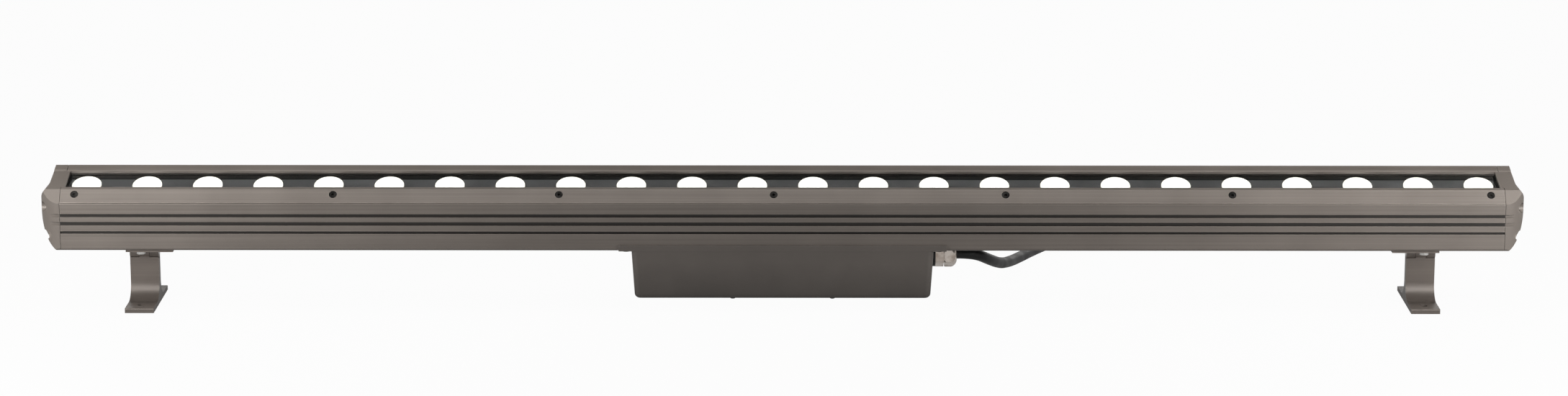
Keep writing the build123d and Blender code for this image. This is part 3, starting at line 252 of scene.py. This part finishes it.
black_nylon = new_material(
    "black_nylon",
    patchy,
    {"Colour": (0.022, 0.022, 0.023), "Dusty Colour": (0.045, 0.044, 0.042), "Smooth": 0.42, "Rough": 0.6},
    bump=0.12,
)


def dress(material, *names):
    """Puts a material on pieces that keep the frame's own shape."""
    for name in names:
        piece = nodes[name]
        piece.data.materials.clear()
        piece.data.materials.append(material)


# ---- floor and light ----
# A grey floor that glows white to the camera and keeps soft shadows. Two soft boxes
# stand in front of the lamp's ends, a low one behind it, and a long one hangs over it.
FLOOR_SIZE, FLOOR_MIDDLE_Y = 7.0, 1.5
FLOOR_GREY = 0.3
FLOOR_GLOW = 0.965
SKY_LEVEL = 0.1
SKY_LOW, SKY_HIGH = 0.06, 0.42
GLOSSY_HORIZON, GLOSSY_CEILING = 0.6, 0.025
THROUGH_CEILING, GLOSSY_FLOOR = 0.05, 0.32
LIGHT_COLOUR = (1.0, 0.985, 0.96)
END_POWER, TOP_POWER, BACK_POWER = 2.7, 13.0, 3.5
floor_mesh = bpy.data.meshes.new("floor")
sheet = bmesh.new()
bmesh.ops.create_grid(sheet, x_segments=1, y_segments=1, size=FLOOR_SIZE)
bmesh.ops.translate(sheet, verts=sheet.verts, vec=(0, FLOOR_MIDDLE_Y, 0))
sheet.to_mesh(floor_mesh)
sheet.free()
floor = bpy.data.objects.new("floor", floor_mesh)
bpy.context.scene.collection.objects.link(floor)
floor_paint = bpy.data.materials.new("floor_paint")
floor_paint.use_nodes = True
floor_tree = floor_paint.node_tree
floor_shader = floor_tree.nodes["Principled BSDF"]
floor_shader.inputs["Base Color"].default_value = (FLOOR_GREY, FLOOR_GREY, FLOOR_GREY, 1)
floor_shader.inputs["Roughness"].default_value = 0.9
glow = floor_tree.nodes.new("ShaderNodeEmission")
path = floor_tree.nodes.new("ShaderNodeLightPath")
seen = math_node(floor_tree, "MAXIMUM", path.outputs["Is Camera Ray"], path.outputs["Is Transmission Ray"])
mirrored_floor = ramp(floor_tree, path.outputs["Is Glossy Ray"], 0, 1, 0, GLOSSY_FLOOR)
seen = math_node(floor_tree, "MAXIMUM", seen, mirrored_floor)
floor_mix = floor_tree.nodes.new("ShaderNodeMixShader")
floor_out = floor_tree.nodes["Material Output"]
join(
    floor_tree,
    (
        (math_node(floor_tree, "MULTIPLY", seen, FLOOR_GLOW), floor_mix.inputs["Fac"]),
        (floor_shader.outputs["BSDF"], floor_mix.inputs[1]),
        (glow.outputs["Emission"], floor_mix.inputs[2]),
        (floor_mix.outputs["Shader"], floor_out.inputs["Surface"]),
    ),
)
floor.data.materials.append(floor_paint)

# The surround is white to the camera. Seen through glass it is white near the horizon,
# mirrored it is grey there, and both grow dim higher up, like under a dark ceiling.
world = bpy.data.worlds.new("surround")
bpy.context.scene.world = world
world.use_nodes = True
surround = world.node_tree
sky = surround.nodes["Background"]
sky_path = surround.nodes.new("ShaderNodeLightPath")
sky_up = surround.nodes.new("ShaderNodeSeparateXYZ")
surround.links.new(surround.nodes.new("ShaderNodeTexCoord").outputs["Generated"], sky_up.inputs["Vector"])
mirrored = ramp(surround, sky_up.outputs["Z"], SKY_LOW, SKY_HIGH, GLOSSY_HORIZON, GLOSSY_CEILING)
dim = ramp(surround, sky_path.outputs["Is Glossy Ray"], 0, 1, SKY_LEVEL, mirrored)
through = ramp(surround, sky_up.outputs["Z"], SKY_LOW, SKY_HIGH, 1.0, THROUGH_CEILING)
dim = ramp(surround, sky_path.outputs["Is Transmission Ray"], 0, 1, dim, through)
surround.links.new(ramp(surround, sky_path.outputs["Is Camera Ray"], 0, 1, dim, 1.0), sky.inputs["Strength"])
sky.inputs["Color"].default_value = (1, 1, 1, 1)


def soft_box(name, location, aim, size, power):
    """A rectangular lamp that the camera doesn't see."""
    lamp_data = bpy.data.lights.new(name, "AREA")
    lamp_data.shape = "RECTANGLE"
    lamp_data.size, lamp_data.size_y = size
    lamp_data.energy = power
    lamp_data.color = LIGHT_COLOUR
    lamp = bpy.data.objects.new(name, lamp_data)
    bpy.context.scene.collection.objects.link(lamp)
    lamp.location = location
    lamp.rotation_euler = (Vector(aim) - Vector(location)).to_track_quat("-Z", "Y").to_euler()
    lamp.visible_camera = False


LAMP_MIDDLE = (0, 0, 0.06)
soft_box("left_box", (-0.64, -0.36, 0.27), (-0.42, 0, 0.06), (0.3, 0.3), END_POWER)
soft_box("right_box", (0.64, -0.36, 0.27), (0.42, 0, 0.06), (0.3, 0.3), END_POWER)
soft_box("back_box", (0, 1.3, 0.34), LAMP_MIDDLE, (2.2, 0.35), BACK_POWER)
soft_box("top_box", (0, -0.08, 1.3), LAMP_MIDDLE, (2.2, 0.5), TOP_POWER)

# ---- shared look of the coated metal ----
# A dark warm grey satin powder coat: fine orange peel, faint lines along extruded pieces,
# paler edges that are partly rubbed wear and partly a painted highlight, and painted shade in the grooves,
# low down and in the lamp chamber.
coat, coat_in, coat_out = new_group(
    "satin_coat",
    (
        ("Colour", COLOUR, (0.1, 0.1, 0.1, 1)),
        ("Pale Colour", COLOUR, (0.2, 0.2, 0.2, 1)),
        ("Painted Shade Colour", COLOUR, (0.03, 0.03, 0.03, 1)),
        ("Line Strength", NUMBER, 0.5),
        ("Edge Rub And Highlight", NUMBER, 0.5),
        ("Groove Shade", NUMBER, 0.0),
        ("Chamber Shade", NUMBER, 0.0),
        ("Low Shade", NUMBER, 0.0),
        ("Smooth", NUMBER, 0.35),
        ("Rough", NUMBER, 0.5),
    ),
    (("Colour", COLOUR), ("Roughness", NUMBER), ("Height", NUMBER)),
)
RUB_HIGHLIGHT_REACH = 1.2 * MM
BAND_DEEP, BAND_FLUSH = 24.2 * MM, 24.9 * MM
BAND_BOTTOM, BAND_TOP, BAND_FADE = 52.5 * MM, 67.3 * MM, 0.2 * MM
WINDOW_PLACE = Vector((0, -2.3, 86.1)) * MM
WINDOW_TILT = math.radians(13)
CHAMBER_HALF, CHAMBER_FADE = 15.0 * MM, 0.5 * MM
CHAMBER_START, CHAMBER_FULL = -3.0 * MM, -3.4 * MM
LOW_SHADE_TOP, LOW_SHADE_FULL, LOW_SHADE_WAVE = 40 * MM, 12 * MM, 12 * MM
place = coat.nodes.new("ShaderNodeTexCoord").outputs["Object"]
stretch = coat.nodes.new("ShaderNodeMapping")
stretch.inputs["Scale"].default_value = (3, 700, 700)
coat.links.new(place, stretch.inputs["Vector"])
lines = noise(coat, stretch.outputs["Vector"], 1.0, 4.0, 0.6)
clouds = noise(coat, place, 25.0, 3.0)
speckle = noise(coat, place, 3200.0, 2.0)
# Convex edges are made paler: partly rubbed wear, partly a painted highlight along the edges.
edges = coat.nodes.new("ShaderNodeAmbientOcclusion")
edges.samples = 4
edges.inside = True
edges.only_local = True
edges.inputs["Distance"].default_value = RUB_HIGHLIGHT_REACH
rub_and_highlight = ramp(coat, edges.outputs["AO"], 0.75, 0.35, 0.0, 1.0)
rub_highlight_break = ramp(coat, noise(coat, place, 180.0), 0.42, 0.62, 0.35, 1.0)
rub_and_highlight = math_node(coat, "MULTIPLY", rub_and_highlight, rub_highlight_break)
rub_and_highlight = math_node(coat, "MULTIPLY", rub_and_highlight, coat_in.outputs["Edge Rub And Highlight"])
streak = math_node(coat, "SUBTRACT", lines, 0.5)
streak = math_node(coat, "MULTIPLY", streak, coat_in.outputs["Line Strength"])
cloud = math_node(coat, "MULTIPLY", math_node(coat, "SUBTRACT", clouds, 0.5), 0.35)
shade = math_node(coat, "ADD", math_node(coat, "ADD", streak, cloud), rub_and_highlight)
shade_limit = coat.nodes.new("ShaderNodeClamp")
coat.links.new(math_node(coat, "ADD", shade, 0.25), shade_limit.inputs["Value"])
clean = blend_colours(
    coat, shade_limit.outputs["Result"], coat_in.outputs["Colour"], coat_in.outputs["Pale Colour"]
)
# Painted shade darkens the floors of the grooves along the front and back faces.
sides = coat.nodes.new("ShaderNodeSeparateXYZ")
coat.links.new(place, sides.inputs["Vector"])
inset = math_node(coat, "ABSOLUTE", sides.outputs["Y"], 0.0)
inset = ramp(coat, inset, BAND_FLUSH, BAND_DEEP)
above = ramp(coat, sides.outputs["Z"], BAND_BOTTOM, BAND_BOTTOM + BAND_FADE)
below = ramp(coat, sides.outputs["Z"], BAND_TOP, BAND_TOP - BAND_FADE)
groove_shade = math_node(coat, "MULTIPLY", inset, math_node(coat, "MULTIPLY", above, below))
groove_shade = math_node(coat, "MULTIPLY", groove_shade, coat_in.outputs["Groove Shade"])
# Painted shade blackens the lamp chamber's walls below the window.
from_window = coat.nodes.new("ShaderNodeMapping")
from_window.vector_type = "TEXTURE"
from_window.inputs["Location"].default_value = WINDOW_PLACE
from_window.inputs["Rotation"].default_value = (WINDOW_TILT, 0, 0)
coat.links.new(place, from_window.inputs["Vector"])
chamber = coat.nodes.new("ShaderNodeSeparateXYZ")
coat.links.new(from_window.outputs["Vector"], chamber.inputs["Vector"])
from_middle = math_node(coat, "ABSOLUTE", chamber.outputs["Y"], 0.0)
within = ramp(coat, from_middle, CHAMBER_HALF + CHAMBER_FADE, CHAMBER_HALF)
sunk = ramp(coat, chamber.outputs["Z"], CHAMBER_START, CHAMBER_FULL)
chamber_shade = math_node(coat, "MULTIPLY", math_node(coat, "MULTIPLY", within, sunk), coat_in.outputs["Chamber Shade"])
# Painted shade darkens each piece towards its bottom, below a wavy line.
low_shade = math_node(coat, "ADD", sides.outputs["Z"], math_node(coat, "MULTIPLY", clouds, LOW_SHADE_WAVE))
low_shade = ramp(coat, low_shade, LOW_SHADE_TOP, LOW_SHADE_FULL, 0.0, 0.5)
low_shade = math_node(coat, "MULTIPLY", low_shade, coat_in.outputs["Low Shade"])
# The painted shade of the grooves, the lamp chamber and the low parts takes the painted shade colour.
painted_shade = math_node(coat, "MAXIMUM", math_node(coat, "MAXIMUM", groove_shade, chamber_shade), low_shade)
coat_colour = blend_colours(coat, painted_shade, clean, coat_in.outputs["Painted Shade Colour"])
coat_rough = ramp(coat, clouds, 0.3, 0.7, coat_in.outputs["Smooth"], coat_in.outputs["Rough"])
peel = math_node(coat, "ADD", speckle, math_node(coat, "MULTIPLY", lines, coat_in.outputs["Line Strength"]))
join(
    coat,
    (
        (coat_colour, coat_out.inputs["Colour"]),
        (coat_rough, coat_out.inputs["Roughness"]),
        (peel, coat_out.inputs["Height"]),
    ),
)

# ---- shared look of the bare metal ----
# Steel, nickel and brass pieces are turned or pressed: fine rings of tool marks, a
# darker film in patches and rubbed roughness.
metal, metal_in, metal_out = new_group(
    "worked_metal",
    (
        ("Colour", COLOUR, (0.6, 0.6, 0.6, 1)),
        ("Stain", COLOUR, (0.3, 0.3, 0.3, 1)),
        ("Mark Scale", NUMBER, 1800.0),
        ("Smooth", NUMBER, 0.2),
        ("Rough", NUMBER, 0.45),
    ),
    (("Colour", COLOUR), ("Roughness", NUMBER), ("Height", NUMBER)),
)
place = metal.nodes.new("ShaderNodeTexCoord").outputs["Object"]
squeeze = metal.nodes.new("ShaderNodeMapping")
squeeze.inputs["Scale"].default_value = (1.0, 0.15, 0.15)
metal.links.new(place, squeeze.inputs["Vector"])
marks = noise(metal, squeeze.outputs["Vector"], metal_in.outputs["Mark Scale"], 2.0)
film = ramp(metal, noise(metal, place, 140.0, 4.0), 0.42, 0.7)
stained = blend_colours(metal, film, metal_in.outputs["Colour"], metal_in.outputs["Stain"])
worn = math_node(metal, "MULTIPLY", math_node(metal, "ADD", film, marks), 0.5)
metal_rough = ramp(metal, worn, 0.15, 0.7, metal_in.outputs["Smooth"], metal_in.outputs["Rough"])
join(
    metal,
    (
        (stained, metal_out.inputs["Colour"]),
        (metal_rough, metal_out.inputs["Roughness"]),
        (marks, metal_out.inputs["Height"]),
    ),
)

# ---- body ----
# One aluminium extrusion with three grooves along each face and two slots below,
# sawn to length and powder coated.
COAT_TONE = {
    "Colour": (0.140, 0.122, 0.109),
    "Pale Colour": (0.258, 0.229, 0.206),
    "Painted Shade Colour": (0.012, 0.0105, 0.0095),
}
body_coat = new_material(
    "body_coat",
    coat,
    {
        **COAT_TONE,
        "Line Strength": 0.8,
        # Paler edges are partly a painted highlight; painted shade darkens the grooves and the lamp chamber.
        "Edge Rub And Highlight": 0.9,
        "Groove Shade": 0.9,
        "Chamber Shade": 1.0,
        "Smooth": 0.36,
        "Rough": 0.46,
    },
    bump=0.12,
    metallic=0.25,
)
dress(body_coat, "housing")

# ---- driver's wiring in the body ----
# A black rubber bush leads two red silicone wires up through the body's floor, from the
# driver box to the lamp boards.
black_silicone = new_material(
    "black_silicone",
    patchy,
    {"Colour": (0.016, 0.016, 0.016), "Dusty Colour": (0.04, 0.039, 0.037), "Smooth": 0.5, "Rough": 0.72},
    bump=0.2,
)
lead_sheath = new_material(
    "lead_sheath",
    patchy,
    {"Colour": (0.55, 0.035, 0.025), "Dusty Colour": (0.42, 0.06, 0.05), "Smooth": 0.4, "Rough": 0.55},
)
dress(black_silicone, "lead_grommet")
dress(lead_sheath, "internal_leads")

# ---- lamp boards ----
# Two white boards with aluminium cores are screwed to the body's inner shelf, each
# with twelve square emitters under yellow phosphor.
lamp_board = new_material(
    "lamp_board",
    patchy,
    {
        "Colour": (0.8, 0.81, 0.8),
        "Dusty Colour": (0.68, 0.67, 0.63),
        "Patch Scale": 90.0,
        "Smooth": 0.3,
        "Rough": 0.45,
    },
    bump=0.05,
)
emitter = new_material(
    "emitter",
    patchy,
    {
        "Colour": (0.93, 0.78, 0.3),
        "Dusty Colour": (0.85, 0.66, 0.2),
        "Patch Scale": 500.0,
        "Smooth": 0.15,
        "Rough": 0.3,
    },
    bump=0.05,
)
bright_steel = new_material(
    "bright_steel",
    metal,
    {"Colour": (0.72, 0.71, 0.69), "Stain": (0.45, 0.44, 0.42), "Smooth": 0.18, "Rough": 0.38},
    bump=0.08,
    metallic=1.0,
)
dress(lamp_board, "left_led_board", "right_led_board")
dress(emitter, "led_emitters")
dress(bright_steel, "board_screws")

# ---- lenses ----
# Clear moulded collimators in black cups, glowing white from the light under them, with
# faint rings and a slightly dimmer rim.
glow_rings, ring_in, ring_out = new_group(
    "lens_glow",
    (
        ("Bright", COLOUR, (1, 1, 1, 1)),
        ("Rim", COLOUR, (0.8, 0.8, 0.8, 1)),
        ("Pitch", NUMBER, 41.1 * MM),
    ),
    (("Glow", COLOUR), ("Roughness", NUMBER), ("Height", NUMBER)),
)
LENS_TILT = math.radians(23)
LENS_MIDDLE_Y = -0.13 * MM
RIM_START, RIM_FULL = 8.8 * MM, 10.0 * MM
RING_WAVE = 5200.0
place = glow_rings.nodes.new("ShaderNodeTexCoord").outputs["Object"]
split = glow_rings.nodes.new("ShaderNodeSeparateXYZ")
glow_rings.links.new(place, split.inputs["Vector"])
cell = math_node(glow_rings, "DIVIDE", split.outputs["X"], ring_in.outputs["Pitch"])
cell = math_node(glow_rings, "SUBTRACT", math_node(glow_rings, "FRACT", cell, 0.0), 0.5)
along = math_node(glow_rings, "MULTIPLY", cell, ring_in.outputs["Pitch"])
across = math_node(glow_rings, "SUBTRACT", split.outputs["Y"], LENS_MIDDLE_Y)
across = math_node(glow_rings, "DIVIDE", across, math.cos(LENS_TILT))
reach = math_node(
    glow_rings,
    "SQRT",
    math_node(
        glow_rings,
        "ADD",
        math_node(glow_rings, "MULTIPLY", along, along),
        math_node(glow_rings, "MULTIPLY", across, across),
    ),
    0.0,
)
rings = math_node(glow_rings, "SINE", math_node(glow_rings, "MULTIPLY", reach, RING_WAVE), 0.0)
ring_tone = math_node(glow_rings, "MULTIPLY", rings, 0.12)
rim = ramp(glow_rings, reach, RIM_START, RIM_FULL)
tone = math_node(glow_rings, "ADD", rim, ring_tone)
tone_limit = glow_rings.nodes.new("ShaderNodeClamp")
glow_rings.links.new(tone, tone_limit.inputs["Value"])
glow_colour = blend_colours(
    glow_rings, tone_limit.outputs["Result"], ring_in.outputs["Bright"], ring_in.outputs["Rim"]
)
grit = noise(glow_rings, place, 400.0)
join(
    glow_rings,
    (
        (glow_colour, ring_out.inputs["Glow"]),
        (ramp(glow_rings, grit, 0.3, 0.7, 0.08, 0.2), ring_out.inputs["Roughness"]),
        (math_node(glow_rings, "ADD", rings, grit), ring_out.inputs["Height"]),
    ),
)
lens_acrylic = bpy.data.materials.new("lens_acrylic")
lens_acrylic.use_nodes = True
lens_tree = lens_acrylic.node_tree
lens_shader = lens_tree.nodes["Principled BSDF"]
lens_shader.inputs["Base Color"].default_value = (0.9, 0.9, 0.88, 1)
lens_shader.inputs["IOR"].default_value = 1.49
lens_shader.inputs["Emission Strength"].default_value = 1.2
lens_source = lens_tree.nodes.new("ShaderNodeGroup")
lens_source.node_tree = glow_rings
lens_source.inputs["Bright"].default_value = (1.0, 0.995, 0.97, 1)
lens_source.inputs["Rim"].default_value = (0.62, 0.58, 0.5, 1)
lens_relief = lens_tree.nodes.new("ShaderNodeBump")
lens_relief.inputs["Strength"].default_value = 0.08
lens_relief.inputs["Distance"].default_value = BUMP_DEPTH
join(
    lens_tree,
    (
        (lens_source.outputs["Glow"], lens_shader.inputs["Emission Color"]),
        (lens_source.outputs["Roughness"], lens_shader.inputs["Roughness"]),
        (lens_source.outputs["Height"], lens_relief.inputs["Height"]),
        (lens_relief.outputs["Normal"], lens_shader.inputs["Normal"]),
    ),
)
dress(lens_acrylic, "lenses")
dress(black_nylon, "lens_holders")

# ---- lens plate ----
# A dark grey matt sheet with a round hole for each lens hides the boards. Its rear edge
# is painted black as shade, next to the chamber's wall.
plate_plastic = new_material(
    "plate_plastic",
    patchy,
    {
        "Colour": (0.125, 0.124, 0.128),
        "Dusty Colour": (0.145, 0.144, 0.148),
        "Patch Scale": 30.0,
        "Smooth": 0.45,
        "Rough": 0.65,
    },
    specular=0.12,
)
REAR_SHADE_START, REAR_SHADE_FULL = 5.2 * MM, 6.2 * MM
plate_tree = plate_plastic.node_tree
plate_shader = plate_tree.nodes["Principled BSDF"]
plate_shade_black = plate_tree.nodes.new("ShaderNodeRGB")
plate_shade_black.outputs["Color"].default_value = (0.002, 0.002, 0.002, 1)
plate_side = plate_tree.nodes.new("ShaderNodeSeparateXYZ")
plate_place = plate_tree.nodes.new("ShaderNodeTexCoord").outputs["Object"]
plate_tree.links.new(plate_place, plate_side.inputs["Vector"])
# Painted shade: the plate's rear strip is blended to black.
rear_edge_shade = ramp(plate_tree, plate_side.outputs["Y"], REAR_SHADE_START, REAR_SHADE_FULL)
plate_tone = plate_shader.inputs["Base Color"].links[0].from_socket
plate_tree.links.new(
    blend_colours(plate_tree, rear_edge_shade, plate_tone, plate_shade_black.outputs["Color"]),
    plate_shader.inputs["Base Color"],
)
dress(plate_plastic, "lens_plate")

# ---- cover glass ----
# Clear toughened glass on a black silicone frame, with a faint film of dust that only
# changes its gloss.
clear_glass = bpy.data.materials.new("clear_glass")
clear_glass.use_nodes = True
glass_tree = clear_glass.node_tree
glass_shader = glass_tree.nodes["Principled BSDF"]
glass_shader.inputs["Base Color"].default_value = (0.97, 0.985, 0.98, 1)
glass_shader.inputs["Transmission Weight"].default_value = 1.0
glass_shader.inputs["IOR"].default_value = 1.45
glass_place = glass_tree.nodes.new("ShaderNodeTexCoord").outputs["Object"]
glass_film = ramp(glass_tree, noise(glass_tree, glass_place, 18.0, 4.0), 0.45, 0.75, 0.0, 0.035)
glass_tree.links.new(glass_film, glass_shader.inputs["Roughness"])
dress(clear_glass, "cover_glass")
inner_silicone = black_silicone.copy()
inner_silicone.name = "inner_silicone"
inner_silicone.node_tree.nodes["Principled BSDF"].inputs["Specular IOR Level"].default_value = 0.1
dress(inner_silicone, "glass_gasket")

# ---- cover rails ----
# Two coated strips press the glass down. Their screws are blackened steel with
# recessed round heads.
dark_steel = new_material(
    "dark_steel",
    metal,
    {"Colour": (0.008, 0.0075, 0.007), "Stain": (0.02, 0.018, 0.016), "Smooth": 0.2, "Rough": 0.34},
    bump=0.1,
    metallic=0.3,
)
dress(body_coat, "front_cover_rail", "rear_cover_rail")
dress(dark_steel, "front_rail_screws", "rear_rail_screws")

# ---- end caps ----
# Cast caps in the same coat, without the extrusion's lines. Each sits over a thin
# black seal and is held by blackened screws.
cap_coat = new_material(
    "cap_coat",
    coat,
    {**COAT_TONE, "Line Strength": 0.0, "Smooth": 0.38, "Rough": 0.5},
    bump=0.16,
    metallic=0.25,
)
dress(cap_coat, "left_end_cap", "right_end_cap")
dress(black_silicone, "left_cap_gasket", "right_cap_gasket")
dress(dark_steel, "left_cap_screws", "right_cap_screws")

# ---- driver box ----
# A cast box in a slightly darker coat, sealed to the body's underside and screwed
# through two flanges.
box_coat = new_material(
    "box_coat",
    coat,
    {
        "Colour": (0.1, 0.088, 0.08),
        "Pale Colour": (0.19, 0.169, 0.154),
        "Painted Shade Colour": COAT_TONE["Painted Shade Colour"],
        # Painted shade: the box is darker towards its bottom.
        "Low Shade": 1.0,
        "Line Strength": 0.0,
        "Smooth": 0.4,
        "Rough": 0.52,
    },
    bump=0.16,
    metallic=0.25,
)
dress(box_coat, "driver_box")
dress(black_silicone, "box_gasket")
dress(dark_steel, "box_flange_screws", "box_bottom_screws")

# ---- driver ----
# A green circuit board with a taped transformer, dark sleeved capacitors and a pale
# terminal block.
circuit_board = new_material(
    "circuit_board",
    patchy,
    {"Colour": (0.04, 0.2, 0.085), "Dusty Colour": (0.07, 0.22, 0.12), "Smooth": 0.25, "Rough": 0.45},
    bump=0.08,
)
winding = new_material(
    "winding",
    patchy,
    {"Colour": (0.5, 0.34, 0.08), "Dusty Colour": (0.4, 0.29, 0.1), "Smooth": 0.3, "Rough": 0.5},
)
can_sleeve = new_material(
    "can_sleeve",
    patchy,
    {"Colour": (0.03, 0.038, 0.075), "Dusty Colour": (0.06, 0.066, 0.095), "Smooth": 0.22, "Rough": 0.4},
)
terminal_plastic = new_material(
    "terminal_plastic",
    patchy,
    {"Colour": (0.7, 0.7, 0.67), "Dusty Colour": (0.58, 0.57, 0.53), "Smooth": 0.35, "Rough": 0.5},
)
dress(circuit_board, "driver_board")
dress(winding, "driver_transformer")
dress(can_sleeve, "driver_capacitors")
dress(terminal_plastic, "terminal_block")
dress(bright_steel, "driver_nuts")

# ---- cable gland ----
# Nickel-plated brass hexagon and domed nut over a black washer, with the cable's
# straight end running through them.
plated_brass = new_material(
    "plated_brass",
    metal,
    {
        "Colour": (0.95, 0.86, 0.78),
        "Stain": (0.5, 0.4, 0.33),
        "Mark Scale": 1200.0,
        "Smooth": 0.06,
        "Rough": 0.2,
    },
    bump=0.08,
    metallic=0.7,
)
dress(plated_brass, "gland_body", "gland_clamp_nut", "gland_locknut")
dress(black_silicone, "gland_washer", "gland_seal")
dress(cable_rubber, "cable_entry")

# ---- connector and tie ----
# A black nylon cable coupling with a knurled ring and brass contacts lies beside the
# coil, which a thin nylon strap holds together.
contact_brass = new_material(
    "contact_brass",
    metal,
    {"Colour": (0.8, 0.62, 0.3), "Stain": (0.5, 0.36, 0.15), "Smooth": 0.15, "Rough": 0.35},
    bump=0.05,
    metallic=1.0,
)
tie_plastic = new_material(
    "tie_plastic",
    patchy,
    {"Colour": (0.028, 0.028, 0.028), "Dusty Colour": (0.05, 0.049, 0.047), "Smooth": 0.38, "Rough": 0.55},
    bump=0.08,
)
dress(black_nylon, "connector_nut", "connector_body", "connector_ring")
dress(contact_brass, "connector_pins")
dress(tie_plastic, "cable_tie")

# ---- brackets ----
# Extruded feet and slider plates in the same coat, painted paler than the body's coat as
# painted light, with bright steel bolts, nuts and hinge pins.
bracket_coat = new_material(
    "bracket_coat",
    coat,
    {
        # Painted light: these colours are a paler copy of the body's coat.
        "Colour": (0.175, 0.149, 0.132),
        "Pale Colour": (0.3, 0.26, 0.232),
        "Painted Shade Colour": (0.016, 0.0135, 0.012),
        # Painted shade: the feet are darker towards their bottom.
        "Low Shade": 1.0,
        "Line Strength": 0.5,
        "Smooth": 0.36,
        "Rough": 0.48,
    },
    bump=0.12,
    metallic=0.25,
)
for side in ("left", "right"):
    dress(bracket_coat, f"{side}_foot", f"{side}_slider_plate")
    dress(bright_steel, f"{side}_t_nuts", f"{side}_clamp_bolts", f"{side}_hinge_pin")
